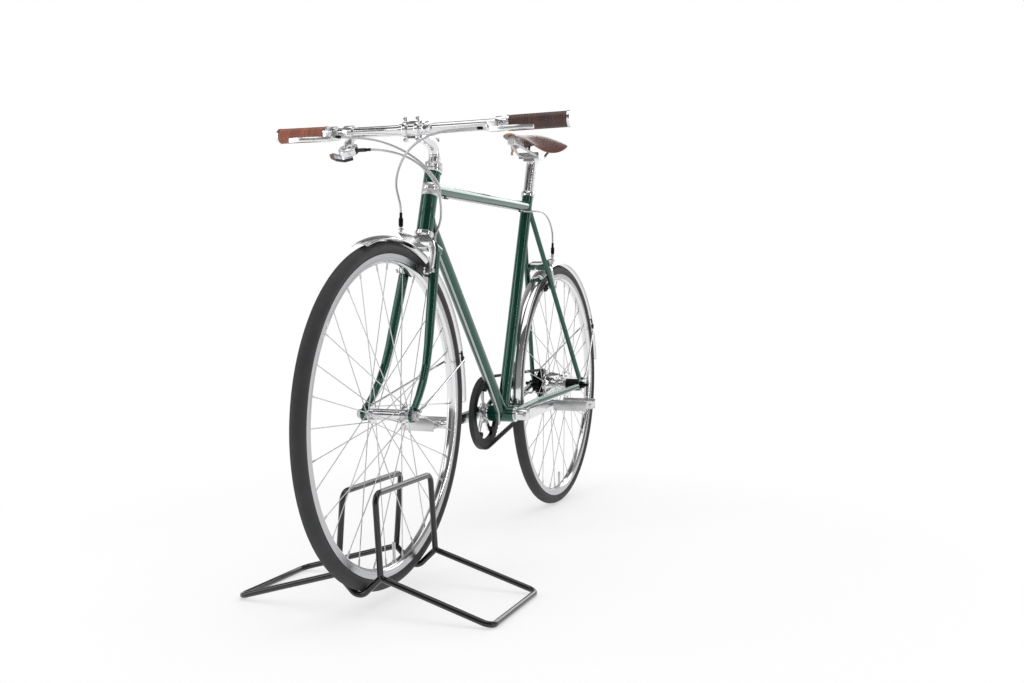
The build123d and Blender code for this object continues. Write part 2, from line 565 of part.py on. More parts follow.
# brake levers: a clamp on the bar, a pivot block in front of it, a blade outwards
CLAMP_WALL = 4          # walls of the clamps on the bar
LEVER_AT = GRIP_FROM - 21
LEVER_CLAMP_W = 14
LEVER_PIVOT = 30        # blade's pivot ahead of the bar
LEVER_DROP = 12         # blade's level below the bar
BLADE_L = 82            # blade's tip outwards of the clamp
BLADE_T = 8
with BuildPart() as brake_lever_left:
    with BuildSketch(towards(on_bar(LEVER_AT) - bar_out * LEVER_CLAMP_W / 2, bar_end)):
        Circle(BAR_R + CLAMP_WALL)
        Circle(BAR_R + RUNNING, mode=Mode.SUBTRACT)
    extrude(amount=LEVER_CLAMP_W)
    with BuildSketch(Plane(origin=on_bar(LEVER_AT) + Vector(0, 0, -LEVER_DROP - BLADE_T / 2),
                           x_dir=(0, 1, 0), z_dir=(0, 0, 1))) as pivot_block:
        with BuildLine():
            Polyline((-12, -BAR_R - 2), (7, -BAR_R - 1), (10, -LEVER_PIVOT - 6), (-14, -LEVER_PIVOT - 8),
                     (-22, -LEVER_PIVOT + 2), (-20, -LEVER_PIVOT + 9), close=True)
        make_face()
        fillet(pivot_block.vertices(), radius=2.5)
    extrude(amount=BLADE_T + 8)
    with BuildSketch(towards(on_bar(LEVER_AT), bar_end)):
        Circle(BAR_R + RUNNING)
    extrude(amount=2 * LEVER_CLAMP_W, both=True, mode=Mode.SUBTRACT)
    with BuildSketch(Plane(origin=on_bar(LEVER_AT) + Vector(0, 0, -LEVER_DROP - BLADE_T),
                           x_dir=(0, 1, 0), z_dir=(0, 0, 1))):
        with BuildLine():
            Spline((-12, -LEVER_PIVOT), (6, -LEVER_PIVOT + 4), (30, -LEVER_PIVOT - 7),
                   (62, -LEVER_PIVOT - 11), (BLADE_L, -LEVER_PIVOT - 8))
            ThreePointArc((BLADE_L, -LEVER_PIVOT - 8), (BLADE_L + 5, -LEVER_PIVOT - 13),
                          (BLADE_L, -LEVER_PIVOT - 18))
            Spline((BLADE_L, -LEVER_PIVOT - 18), (58, -LEVER_PIVOT - 22), (24, -LEVER_PIVOT - 20),
                   (-8, -LEVER_PIVOT - 12))
            Line((-8, -LEVER_PIVOT - 12), (-12, -LEVER_PIVOT))
        make_face()
    extrude(amount=BLADE_T)
brake_lever_left.part.label = "brake_lever_left"
export_step(brake_lever_left.part, "parts/brake_lever_left.step")
with BuildPart() as brake_lever_right:
    add(mirror(brake_lever_left.part, about=Plane.XZ, mode=Mode.PRIVATE))
brake_lever_right.part.label = "brake_lever_right"
export_step(brake_lever_right.part, "parts/brake_lever_right.step")

# gear shifter under the bar on the right: clamp, neck, round pod and two thumb levers
SHIFTER_AT = LEVER_AT - 38
POD_R = 21
POD_H = 15
POD_DROP = 38           # pod's middle below the bar
POD_AHEAD = 8
POD_ROUND = 3
BARREL_R = 4
BARREL_L = 22
SHIFTER_CLAMP_W = 22
NECK_W = 18
NECK_T = 16
THUMB_T = 6             # thickness of the thumb levers
shifter_mid = on_bar(SHIFTER_AT)
shifter_at = Vector(shifter_mid.X, -shifter_mid.Y, shifter_mid.Z)
pod_at = shifter_at + Vector(POD_AHEAD, 0, -POD_DROP)
pod_plane = Plane(origin=pod_at, x_dir=(0, 1, 0), z_dir=(0.55, 0, 0.83))
bar_out_right = Vector(bar_out.X, -bar_out.Y, bar_out.Z)
with BuildPart() as shifter:
    with BuildSketch(pod_plane.offset(-POD_H / 2)):
        Circle(POD_R)
    extrude(amount=POD_H)
    fillet(shifter.edges().filter_by(GeomType.CIRCLE), radius=POD_ROUND)
    with BuildSketch(towards(shifter_at - bar_out_right * SHIFTER_CLAMP_W / 2, shifter_at)):
        Circle(BAR_R + CLAMP_WALL)
    extrude(amount=SHIFTER_CLAMP_W)
    neck_foot = shifter_at + Vector(POD_AHEAD / 2, 0, -POD_DROP)
    with BuildSketch(Plane(origin=neck_foot, x_dir=(0, 1, 0), z_dir=(0, 0, 1))):
        Rectangle(NECK_W, NECK_T)
    extrude(amount=POD_DROP)
    with BuildSketch(Plane(origin=pod_at + Vector(0, POD_R - 2, 0), z_dir=(0, 1, 0))):
        Circle(BARREL_R)
    extrude(amount=BARREL_L)
    with BuildSketch(pod_plane.offset(-POD_H / 2 - THUMB_T)) as thumb_levers:
        with BuildLine():
            Polyline((-POD_R + 6, -6), (-44, 8), (-50, 2), (-44, -6), (-24, -20), (0, -27),
                     (16, -18), (10, -8), close=True)
        make_face()
        fillet(thumb_levers.vertices(), radius=2)
    extrude(amount=THUMB_T + 0.5)
    with BuildSketch(towards(shifter_at - bar_out_right * SHIFTER_CLAMP_W, shifter_at)):
        Circle(BAR_R + RUNNING)
    extrude(amount=2 * SHIFTER_CLAMP_W, mode=Mode.SUBTRACT)
shifter.part.label = "shifter"
export_step(shifter.part, "parts/shifter.step")
barrel_end = pod_at + Vector(0, POD_R - 2 + BARREL_L, 0)

# small bell beside the stem: a clamp ring on the bar with a dome in front of it
BELL_AT = 36
BELL_W = 9
BELL_R = 10
BELL_H = 9
with BuildPart() as bell:
    with BuildSketch(Plane(origin=bar_mid + Vector(0, BELL_AT, 0), z_dir=(0, 1, 0))):
        Circle(BAR_R + CLAMP_WALL)
    extrude(amount=BELL_W / 2, both=True)
    with BuildSketch(Plane(origin=bar_mid + Vector(BAR_R + 2, BELL_AT, 0), z_dir=(1, 0, 0))):
        Circle(BELL_R)
    extrude(amount=BELL_H)
    fillet(bell.edges().sort_by(Axis.X)[-1], radius=6)
    with BuildSketch(Plane(origin=bar_mid + Vector(0, BELL_AT, 0), z_dir=(0, 1, 0))):
        Circle(BAR_R + RUNNING)
    extrude(amount=2 * BELL_W, both=True, mode=Mode.SUBTRACT)
bell.part.label = "bell"
export_step(bell.part, "parts/bell.step")

# ---------------------------------------------------------------- rim brakes
ARM_T = 9               # thickness of a brake's arms
ARM_OUT = 40            # their outer edges from the middle plane
ARM_ROUND = 3           # rounding of their outlines
ARM_GAP = 1.5           # arms in front of the crown or bridge
PAD_L = 46
PAD_H = 9
PAD_T = 9
PAD_GAP = 2.5           # pad's face from the rim
ADJUSTER_Y = 45
ADJUSTER_UP = 17        # adjuster's foot above the bolt
ADJUSTER_R = 3.5
ADJUSTER_L = 34
CABLE_R = 2.3


def adjuster_foot(bolt, side_dir, out_dir, up_dir, stand_off):
    """Foot of a brake's cable adjuster, on its arm."""
    return bolt + out_dir * (stand_off + ARM_T / 2) + side_dir * ADJUSTER_Y + up_dir * ADJUSTER_UP


def brake_arms(bolt, side_dir, out_dir, up_dir, reach, stand_off, bolt_back):
    """Dual-pivot brake: two arms from the bolt down past the rim, and the cable's adjuster.

    side_dir points to the adjuster, out_dir away from the frame, reach is bolt to pads.
    """
    face = Plane(origin=bolt + out_dir * stand_off, x_dir=side_dir, z_dir=side_dir.cross(up_dir))
    grow = ARM_T if face.z_dir.dot(out_dir) > 0 else -ARM_T
    with BuildPart() as arms:
        half = ((14, 12), (33, 2), (ARM_OUT, -14), (ARM_OUT, -reach + 12), (36, -reach - 7),
                (RIM_W / 2 + 12, -reach - 7), (RIM_W / 2 + 12, -reach + 9), (29, -reach + 18),
                (28, -20), (20, -13))
        with BuildSketch(face) as outline:
            with BuildLine():
                Polyline(*half, *[(-x, y) for x, y in reversed(half)], close=True)
            make_face()
            fillet(outline.vertices(), radius=ARM_ROUND)
        extrude(amount=grow)
        with BuildSketch(face) as adjuster_arm:
            with BuildLine():
                Polyline((14, 12), (29, 0), (ARM_OUT, 0), (ADJUSTER_Y + 5, 12), (ADJUSTER_Y + 5, 20),
                         (ADJUSTER_Y - 6, 20), close=True)
            make_face()
            fillet(adjuster_arm.vertices(), radius=ARM_ROUND / 2)
        extrude(amount=grow)
        with BuildSketch(Plane(origin=bolt - out_dir * bolt_back, z_dir=out_dir)):
            Circle(BOLT_R)
        extrude(amount=bolt_back + stand_off + ARM_T + 5)
        foot = adjuster_foot(bolt, side_dir, out_dir, up_dir, stand_off)
        with BuildSketch(Plane(origin=foot, z_dir=bike_up)):
            Circle(ADJUSTER_R)
        extrude(amount=ADJUSTER_L)
    return arms.part


def brake_pads(axle, bolt, out_dir, up_dir, stand_off):
    """A pair of pads beside the rim, each along the rim's tangent."""
    middle = bolt + out_dir * (stand_off + ARM_T / 2) - axle
    ahead = middle.dot(out_dir)
    centre = axle + out_dir * ahead + up_dir * sqrt(RIM_TRACK_R**2 - ahead**2)
    radial = (centre - axle).normalized()
    with BuildPart() as pads:
        for side in (1, -1):
            inner = centre + Vector(0, side * (RIM_W / 2 + PAD_GAP), 0)
            with BuildSketch(Plane(origin=inner, x_dir=radial, z_dir=(0, side, 0))):
                Rectangle(PAD_H, PAD_L)
            extrude(amount=PAD_T)
    return pads.part


front_bolt = steer_at(0, 0, -BRAKE_UP)
front_stand_off = CROWN_T / 2 + ARM_GAP
pad_height = sqrt(RIM_TRACK_R**2 - (front_stand_off + ARM_T / 2 - FORK_RAKE) ** 2)
front_reach = HEAD_TUBE_UP - BRAKE_UP - pad_height
with BuildPart() as front_brake:
    add(brake_arms(front_bolt, Vector(0, -1, 0), steer_ahead, steer_dir, front_reach,
                   front_stand_off, CROWN_T / 2 + 4))
front_brake.part.label = "front_brake"
export_step(front_brake.part, "parts/front_brake.step")

rear_stand_off = BRIDGE_R + ARM_GAP
rear_ahead = rear_stand_off + ARM_T / 2
rear_reach = BRAKE_REACH - sqrt(RIM_TRACK_R**2 - rear_ahead**2)
with BuildPart() as rear_brake:
    add(brake_arms(bridge_at, Vector(0, 1, 0), stay_back, stay_up, rear_reach,
                   rear_stand_off, BRIDGE_R + 4))
rear_brake.part.label = "rear_brake"
export_step(rear_brake.part, "parts/rear_brake.step")

with BuildPart() as front_brake_pads:
    add(brake_pads(front_axle_at, front_bolt, steer_ahead, steer_dir, front_stand_off))
front_brake_pads.part.label = "front_brake_pads"
export_step(front_brake_pads.part, "parts/front_brake_pads.step")
with BuildPart() as rear_brake_pads:
    add(brake_pads(rear_axle_at, bridge_at, stay_back, stay_up, rear_stand_off))
rear_brake_pads.part.label = "rear_brake_pads"
export_step(rear_brake_pads.part, "parts/rear_brake_pads.step")

# ---------------------------------------------------------------- fenders
STAY_WIRE_R = 2.2
STAY_KNEE = 34          # a stay's last stretch, alongside the end plate


def fender(axle, rear_end, arc, clip, eyelet_y, eyelet):
    """Channel over a wheel from rear_end, turned forwards by arc, with a stay on each side.

    Angles are in degrees from straight ahead towards up. The stays run from the fender's
    edges at clip to the eyelets.
    """
    out = dir_xz(rear_end)
    start = Plane(origin=axle, x_dir=(0, 1, 0), z_dir=(out.Z, 0, -out.X))
    half = FENDER_W / 2
    with BuildPart() as channel:
        with BuildSketch(start):
            with BuildLine():
                ThreePointArc((-half, FENDER_R - FENDER_DROP), (0, FENDER_R), (half, FENDER_R - FENDER_DROP))
                Line((half, FENDER_R - FENDER_DROP), (half - FENDER_T, FENDER_R - FENDER_DROP))
                ThreePointArc((half - FENDER_T, FENDER_R - FENDER_DROP), (0, FENDER_R - FENDER_T),
                              (FENDER_T - half, FENDER_R - FENDER_DROP))
                Line((FENDER_T - half, FENDER_R - FENDER_DROP), (-half, FENDER_R - FENDER_DROP))
            make_face()
        revolve(axis=Axis(axle, (0, 1, 0)), revolution_arc=arc)
        for side in (1, -1):
            out_to = side * (half + STAY_WIRE_R - 0.5)
            edge = axle + dir_xz(clip) * (FENDER_R - FENDER_DROP + 1) + Vector(0, out_to, 0)
            foot = eyelet + Vector(0, side * eyelet_y, 0)
            level = Vector(edge.X, foot.Y, edge.Z)
            knee = foot + (level - foot).normalized() * STAY_KNEE
            with BuildLine() as wire_line:
                FilletPolyline(edge, knee, foot, radius=STAY_KNEE)
            with BuildSketch(Plane(origin=edge, z_dir=wire_line.line % 0)):
                Circle(STAY_WIRE_R)
            sweep(path=wire_line.line)
    return channel.part


WASHER = 1
front_eyelet = front_axle_at + dir_xz(degrees(FORK_EYELET_TURN)) * EYELET_OUT
rear_eyelet = rear_axle_at + dir_xz(degrees(EYELET_TURN)) * EYELET_OUT
with BuildPart() as front_fender:
    add(fender(front_axle_at, FRONT_FENDER_END, FRONT_FENDER_END - FRONT_FENDER_TIP, FRONT_CLIP,
               FORK_END_Y + DROPOUT_T / 2 + STAY_WIRE_R + SEAT_GAP, front_eyelet))
front_fender.part.label = "front_fender"
export_step(front_fender.part, "parts/front_fender.step")
with BuildPart() as rear_fender:
    add(fender(rear_axle_at, REAR_FENDER_END, REAR_FENDER_END - REAR_FENDER_TIP, REAR_CLIP,
               STAY_Y + DROPOUT_T / 2 + STAY_WIRE_R + SEAT_GAP, rear_eyelet))
rear_fender.part.label = "rear_fender"
export_step(rear_fender.part, "parts/rear_fender.step")

# ---------------------------------------------------------------- wheels
SPOKE_BED_R = RIM_R - RIM_DEPTH
wheel_profile_rim = (
    (RIM_W / 2, RIM_R), (RIM_W / 2, RIM_R - 14), (5, SPOKE_BED_R), (-5, SPOKE_BED_R),
    (-RIM_W / 2, RIM_R - 14), (-RIM_W / 2, RIM_R), (-RIM_W / 2 + 2, RIM_R),
    (-RIM_W / 2 + 2, RIM_R - 8), (RIM_W / 2 - 2, RIM_R - 8), (RIM_W / 2 - 2, RIM_R))
tread_points = [(TYRE_W / 2 * sin(radians(lean)), TYRE_R - TYRE_W / 2 * (1 - cos(radians(lean))))
                for lean in (90, 45, 0, -45, -90)]
wheel_profile_tyre = ((RIM_W / 2, RIM_R + SEAT_GAP), *tread_points, (-RIM_W / 2, RIM_R + SEAT_GAP))
SPOKE_APART = 0.2       # half the gap between spokes that cross
SPOKE_RIM_Y = 2         # a spoke's nipple from the rim's middle plane
FRONT_FLANGE_R = 19
FRONT_FLANGE_Y = 35
REAR_SHELL_R = 29
REAR_FLANGE_R = 39
REAR_FLANGE_Y = 29
CONE_R = 8
REAR_CONE_R = 11
FLANGE_T = 3


def turned(axle, *outlines):
    """Solid of revolution about an axle, from outlines of (left, radius) points."""
    with BuildPart() as body:
        for outline in outlines:
            with BuildSketch(Plane(origin=axle, x_dir=(0, 1, 0), z_dir=(1, 0, 0))):
                with BuildLine():
                    Polyline(*outline, close=True)
                make_face()
            revolve(axis=Axis(axle, (0, 1, 0)))
    return body.part


def spokes(axle, flange_r, flange_y, cross):
    """Wire spokes from the hub's flanges to the rim's bed, alternately leaning each way."""
    with BuildPart() as wires:
        for index in range(SPOKES):
            side = 1 if index % 2 else -1
            lean = 1 if index // 2 % 2 else -1
            at_rim = index * 360 / SPOKES
            at_hub = at_rim + lean * cross
            apart = Vector(0, lean * (SPOKE_R + SPOKE_APART), 0)
            hub_point = axle + dir_xz(at_hub) * (flange_r + SPOKE_R + SEAT_GAP)
            hub_point = hub_point + Vector(0, side * flange_y, 0) + apart
            rim_point = axle + dir_xz(at_rim) * SPOKE_BED_R + Vector(0, side * SPOKE_RIM_Y, 0) + apart
            run = towards(hub_point, rim_point)
            with BuildSketch(run):
                RegularPolygon(SPOKE_R, 5)
            extrude(amount=(rim_point - hub_point).length - 0.3)
    return wires.part


for axle, name, flange_r, flange_y, shell_r, cone_r, cross in (
        (front_axle_at, "front", FRONT_FLANGE_R, FRONT_FLANGE_Y, 11.5, CONE_R, 67.5),
        (rear_axle_at, "rear", REAR_FLANGE_R, REAR_FLANGE_Y, REAR_SHELL_R, REAR_CONE_R, 45)):
    with BuildPart() as rim:
        add(turned(axle, wheel_profile_rim))
    rim.part.label = f"{name}_rim"
    export_step(rim.part, f"parts/{name}_rim.step")
    with BuildPart() as tyre:
        add(turned(axle, wheel_profile_tyre))
    tyre.part.label = f"{name}_tyre"
    export_step(tyre.part, f"parts/{name}_tyre.step")
    edge = flange_y + FLANGE_T / 2
    with BuildPart() as hub:
        add(turned(axle, (
            (-edge - 4, cone_r + RUNNING), (-edge - 4, shell_r), (-edge, shell_r), (-edge, flange_r),
            (-edge + FLANGE_T, flange_r), (-edge + FLANGE_T, shell_r), (edge - FLANGE_T, shell_r),
            (edge - FLANGE_T, flange_r), (edge, flange_r), (edge, shell_r), (edge + 4, shell_r),
            (edge + 4, cone_r + RUNNING))))
    hub.part.label = f"{name}_hub"
    export_step(hub.part, f"parts/{name}_hub.step")
    with BuildPart() as wires:
        add(spokes(axle, flange_r, flange_y, cross))
    wires.part.label = f"{name}_spokes"
    export_step(wires.part, f"parts/{name}_spokes.step")

# ---------------------------------------------------------------- axles
NUT_R = 9.5
NUT_L = 9
REAR_AXLE_OUT = 12      # axles' ends beyond their nuts
FRONT_AXLE_OUT = 3


def axle_set(axle, old, rod_r, rod_out, cone_r, cone_in, washer_r):
    """Fixed axle: rod, a cone inside each end plate, a washer and a nut outside."""
    face = old / 2 + DROPOUT_T
    with BuildPart() as rod:
        end = face + WASHER + NUT_L + rod_out
        add(turned(axle, ((-end, 0), (-end, rod_r), (end, rod_r), (end, 0))))
        for side in (1, -1):
            end_plane = Plane(origin=axle, z_dir=(0, side, 0))
            with BuildSketch(end_plane.offset(cone_in)):
                Circle(cone_r)
            extrude(amount=old / 2 - cone_in)
            with BuildSketch(end_plane.offset(face)):
                Circle(washer_r)
            extrude(amount=WASHER)
            with BuildSketch(end_plane.offset(face + WASHER)):
                RegularPolygon(NUT_R, 6)
            extrude(amount=NUT_L)
    return rod.part


with BuildPart() as front_axle:
    add(axle_set(front_axle_at, FRONT_OLD, FRONT_AXLE_R, FRONT_AXLE_OUT, CONE_R, 28, NUT_R))
front_axle.part.label = "front_axle"
export_step(front_axle.part, "parts/front_axle.step")

# the geared rear hub: a dust cap on the left; on the right the shift unit outside the sprocket
DUST_CAP_R = 17
SHIFT_UNIT_R = 23
SHIFT_UNIT_T = 7
COG_CARRIER_R = 20
COG_T = 5
shift_face = REAR_OLD / 2 - 2
dust_cap_from = REAR_FLANGE_Y + FLANGE_T / 2 + 4 + SEAT_GAP
with BuildPart() as rear_axle:
    add(axle_set(rear_axle_at, REAR_OLD, REAR_AXLE_R, REAR_AXLE_OUT, REAR_CONE_R, 26, NUT_R + 2))
    with BuildSketch(Plane(origin=rear_axle_at, z_dir=(0, 1, 0)).offset(dust_cap_from)):
        Circle(DUST_CAP_R)
    extrude(amount=REAR_OLD / 2 - 3 - dust_cap_from)
    shift_plane = Plane(origin=rear_axle_at, x_dir=(1, 0, 0), z_dir=(0, -1, 0))
    with BuildSketch(shift_plane.offset(shift_face - SHIFT_UNIT_T)):
        Circle(SHIFT_UNIT_R)
        with Locations((-8, -SHIFT_UNIT_R + 2)):
            Rectangle(16, 16)
    extrude(amount=SHIFT_UNIT_T)
rear_axle.part.label = "rear_axle"
export_step(rear_axle.part, "parts/rear_axle.step")

# ---------------------------------------------------------------- belt drive
TOOTH_ROOT_W = 6.4      # belt tooth's width at its root and tip
TOOTH_TIP_W = 4.2
belt_at = Vector(0, -BELT_LINE, 0)
belt_ahead = (bb_at - rear_axle_at).normalized()
belt_plane = Plane(origin=bb_at + belt_at, x_dir=belt_ahead, z_dir=(0, -1, 0))
wrap = asin((ring_r - cog_r) / chainstay)
ring_arc = ring_r * (pi / 2 + wrap)
free_run = chainstay * cos(wrap)


def on_belt(along, inside):
    """Point of the belt this far along its pitch line from its foremost point, and inside it."""
    length = belt_teeth * BELT_PITCH
    along = along % length
    upper = 1
    if along > length / 2:
        along = length - along
        upper = -1
    if along <= ring_arc:
        turn = along / ring_r
        x = (ring_r - inside) * cos(turn)
        y = (ring_r - inside) * sin(turn)
    elif along <= ring_arc + free_run:
        turn = pi / 2 + wrap
        rest = along - ring_arc
        x = (ring_r - inside) * cos(turn) - rest * cos(wrap)
        y = (ring_r - inside) * sin(turn) - rest * sin(wrap)
    else:
        turn = pi / 2 + wrap + (along - ring_arc - free_run) / cog_r
        x = -chainstay + (cog_r - inside) * cos(turn)
        y = (cog_r - inside) * sin(turn)
    return (x, upper * y)


def toothed(radius, teeth, first, root, tip, root_w, tip_w):
    """Outline of a toothed wheel: valleys at first + k pitches, radii and widths of its gaps."""
    points = []
    for index in range(teeth):
        middle = first + index * 2 * pi / teeth
        for offset, depth in ((-root_w / 2, root), (-tip_w / 2, tip), (tip_w / 2, tip), (root_w / 2, root)):
            turn = middle + offset / radius
            points.append(((radius - depth) * cos(turn), (radius - depth) * sin(turn)))
    return points


tooth_points = []
for index in range(belt_teeth):
    for offset, depth in ((-TOOTH_ROOT_W / 2, BELT_LAND), (-TOOTH_TIP_W / 2, BELT_LAND + TOOTH_H),
                          (TOOTH_TIP_W / 2, BELT_LAND + TOOTH_H), (TOOTH_ROOT_W / 2, BELT_LAND)):
        tooth_points.append(on_belt(index * BELT_PITCH + offset, depth))
with BuildPart() as belt:
    with BuildSketch(belt_plane):
        Circle(ring_r + BELT_BACK)
        with Locations((-chainstay, 0)):
            Circle(cog_r + BELT_BACK)
        make_hull()
        with BuildLine():
            Polyline(*tooth_points, close=True)
        make_face(mode=Mode.SUBTRACT)
    extrude(amount=BELT_W / 2, both=True)
belt.part.label = "belt"
export_step(belt.part, "parts/belt.step")

RING_T = 9              # ring's and cog's width under the belt
RING_IN = 66            # ring's inner radius
RING_LUG = 7
SPIDER_R = 61
SPIDER_ARMS = 5
gap_root = BELT_LAND + MESH_GAP
gap_tip = BELT_LAND + TOOTH_H + MESH_GAP
gap_root_w = TOOTH_ROOT_W + 2 * MESH_GAP
gap_tip_w = TOOTH_TIP_W + 2 * MESH_GAP
SPIDER_TURN = 18        # spider's first arm from the chain line
with BuildPart() as chainring:
    with BuildSketch(belt_plane):
        with BuildLine():
            Polyline(*toothed(ring_r, RING_TEETH, 0, gap_root, gap_tip, gap_root_w, gap_tip_w), close=True)
        make_face()
        Circle(RING_IN, mode=Mode.SUBTRACT)
        with PolarLocations(SPIDER_R, SPIDER_ARMS, start_angle=SPIDER_TURN):
            Circle(RING_LUG)
        with PolarLocations(SPIDER_R, SPIDER_ARMS, start_angle=SPIDER_TURN):
            Circle(BOLT_R, mode=Mode.SUBTRACT)
    extrude(amount=RING_T / 2, both=True)
chainring.part.label = "chainring"
export_step(chainring.part, "parts/chainring.step")

cog_plane = Plane(origin=rear_axle_at + belt_at, x_dir=belt_ahead, z_dir=(0, -1, 0))
cog_first = pi + belt_teeth % 2 * pi / COG_TEETH        # an odd belt has a gap at its rearmost point
with BuildPart() as rear_sprocket:
    with BuildSketch(cog_plane):
        with BuildLine():
            Polyline(*toothed(cog_r, COG_TEETH, cog_first, gap_root, gap_tip, gap_root_w, gap_tip_w),
                     close=True)
        make_face()
        Circle(REAR_CONE_R + RUNNING, mode=Mode.SUBTRACT)
        with PolarLocations(27, 8):
            Circle(4.5, mode=Mode.SUBTRACT)
    extrude(amount=RING_T / 2, both=True)
    with BuildSketch(cog_plane.offset(-RING_T / 2)):
        Circle(COG_CARRIER_R)
        Circle(REAR_CONE_R + RUNNING, mode=Mode.SUBTRACT)
    extrude(amount=-(BELT_LINE - RING_T / 2 - REAR_FLANGE_Y - FLANGE_T / 2 - 4 - SEAT_GAP))
rear_sprocket.part.label = "rear_sprocket"
export_step(rear_sprocket.part, "parts/rear_sprocket.step")

# ---------------------------------------------------------------- cranks and pedals
BOSS_R = 15
BOSS_FROM = 41          # a crank's boss from the middle plane
BOSS_TO = 69
ARM_THICK = 12
ARM_IN = 58             # crank arm's inner face from the middle plane, at the boss
ARM_END_IN = 73         # and at the pedal
EYE_R = 11
PEDAL_PIN_R = 6
with BuildPart(bb_side) as crank_spindle:
    Cylinder(SPINDLE_R, 2 * SPINDLE_HALF)
crank_spindle.part.label = "crank_spindle"
export_step(crank_spindle.part, "parts/crank_spindle.step")

for side, name in ((1, "left"), (-1, "right")):
    reach_dir = dir_xz(180 - CRANK_TILT) * side
    out = Vector(0, side, 0)
    boss = bb_at + out * ARM_IN
    eye = bb_at + reach_dir * CRANK_L + out * ARM_END_IN
    with BuildPart() as crank:
        with BuildSketch(Plane(origin=bb_at + out * BOSS_FROM, z_dir=out)):
            Circle(BOSS_R)
        extrude(amount=BOSS_TO - BOSS_FROM)
        with BuildSketch(Plane(origin=boss + reach_dir * 8 + out * ARM_THICK / 2, x_dir=out, z_dir=reach_dir)):
            Rectangle(ARM_THICK, 2 * BOSS_R - 4)
        with BuildSketch(Plane(origin=eye - reach_dir * 4 + out * ARM_THICK / 2, x_dir=out, z_dir=reach_dir)):
            Rectangle(ARM_THICK - 1, 2 * EYE_R - 2)
        loft(ruled=True)
        with BuildSketch(Plane(origin=eye, z_dir=out)):
            Circle(EYE_R)
        extrude(amount=ARM_THICK)
        with BuildSketch(Plane(origin=eye + out * ARM_THICK, z_dir=out)):
            Circle(PEDAL_PIN_R)
        extrude(amount=PEDAL_W - 4)
        if side < 0:
            with BuildSketch(belt_plane.offset(RING_T / 2)):
                Circle(26)
                with PolarLocations(SPIDER_R / 2, SPIDER_ARMS, start_angle=SPIDER_TURN):
                    Rectangle(SPIDER_R, 13)
                with PolarLocations(SPIDER_R, SPIDER_ARMS, start_angle=SPIDER_TURN):
                    Circle(RING_LUG)
            extrude(amount=4)
        with BuildSketch(bb_side):
            Circle(SPINDLE_R + RUNNING)
        extrude(amount=SPINDLE_HALF + 1, both=True, mode=Mode.SUBTRACT)
    crank.part.label = f"crank_{name}"
    export_step(crank.part, f"parts/crank_{name}.step")
    pedal_from = eye + out * (ARM_THICK + 2)
    cage = Plane(origin=pedal_from, x_dir=(1, 0, 0), z_dir=out)
    with BuildPart() as pedal:
        with BuildSketch(cage):
            Circle(PEDAL_PIN_R + 4)
        extrude(amount=PEDAL_W)
        for along in (4, PEDAL_W - 8):
            with BuildSketch(cage.offset(along)):
                Rectangle(PEDAL_L, 14)
            extrude(amount=4)
        for across in (PEDAL_L / 2 - 1.5, 1.5 - PEDAL_L / 2):
            with BuildSketch(cage.offset(4)):
                with Locations((across, 0)):
                    Rectangle(3, 26)
            extrude(amount=PEDAL_W - 8)
        with BuildSketch(cage):
            Circle(PEDAL_PIN_R + RUNNING)
        extrude(amount=PEDAL_W - 3, mode=Mode.SUBTRACT)
    pedal.part.label = f"pedal_{name}"
    export_step(pedal.part, f"parts/pedal_{name}.step")

# ---------------------------------------------------------------- seatpost and saddle
COLLAR_R = 17.5
COLLAR_H = 14
RAIL_R = 3.5
RAIL_Y = 21
RAIL_Z_UP = 12          # rails' middle above the seatpost's top
CLAMP_L = 42
post_top = seat_top + seat_dir * SEATPOST_UP
clamp_at = post_top + bike_ahead * 2 + bike_up * RAIL_Z_UP
with BuildPart() as seat_collar:
    with BuildSketch(seat.offset(SEAT_TUBE_L - COLLAR_H + 2)):
        Circle(COLLAR_R)
        with Locations((-COLLAR_R, 0)):
            Rectangle(14, 13)
    extrude(amount=COLLAR_H - 2)
    with BuildSketch(seat.offset(SEAT_TUBE_L - COLLAR_H)):
        Circle(SEAT_TUBE_R + RUNNING)
        with Locations((-COLLAR_R - 4, 0)):
            Rectangle(24, 2)
    extrude(amount=2 * COLLAR_H, mode=Mode.SUBTRACT)
seat_collar.part.label = "seat_collar"
export_step(seat_collar.part, "parts/seat_collar.step")

INSERT = 90             # seatpost's length inside the seat tube
with BuildPart() as seatpost:
    with BuildSketch(seat.offset(SEAT_TUBE_L - INSERT)):
        Circle(SEATPOST_R)
        Circle(SEATPOST_R - 2, mode=Mode.SUBTRACT)
    extrude(amount=INSERT + SEATPOST_UP - 14)
    with BuildSketch(seat.offset(SEAT_TUBE_L + SEATPOST_UP - 16)):
        Circle(SEATPOST_R)
    extrude(amount=16)
    with BuildSketch(Plane(origin=clamp_at, x_dir=(0, 1, 0), z_dir=bike_ahead)):
        Rectangle(2 * RAIL_Y + 14, 16)
        with Locations((0, -8)):
            Rectangle(30, 14)
    extrude(amount=CLAMP_L / 2, both=True)
    with BuildSketch(Plane(origin=clamp_at, x_dir=(0, 1, 0), z_dir=bike_ahead)):
        with Locations((RAIL_Y, 0), (-RAIL_Y, 0)):
            Circle(RAIL_R + RUNNING)
    extrude(amount=CLAMP_L, both=True, mode=Mode.SUBTRACT)
seatpost.part.label = "seatpost"
export_step(seatpost.part, "parts/seatpost.step")

tail_at = clamp_at - bike_ahead * SADDLE_BACK + bike_up * SADDLE_UP
LEATHER_T = 4.5
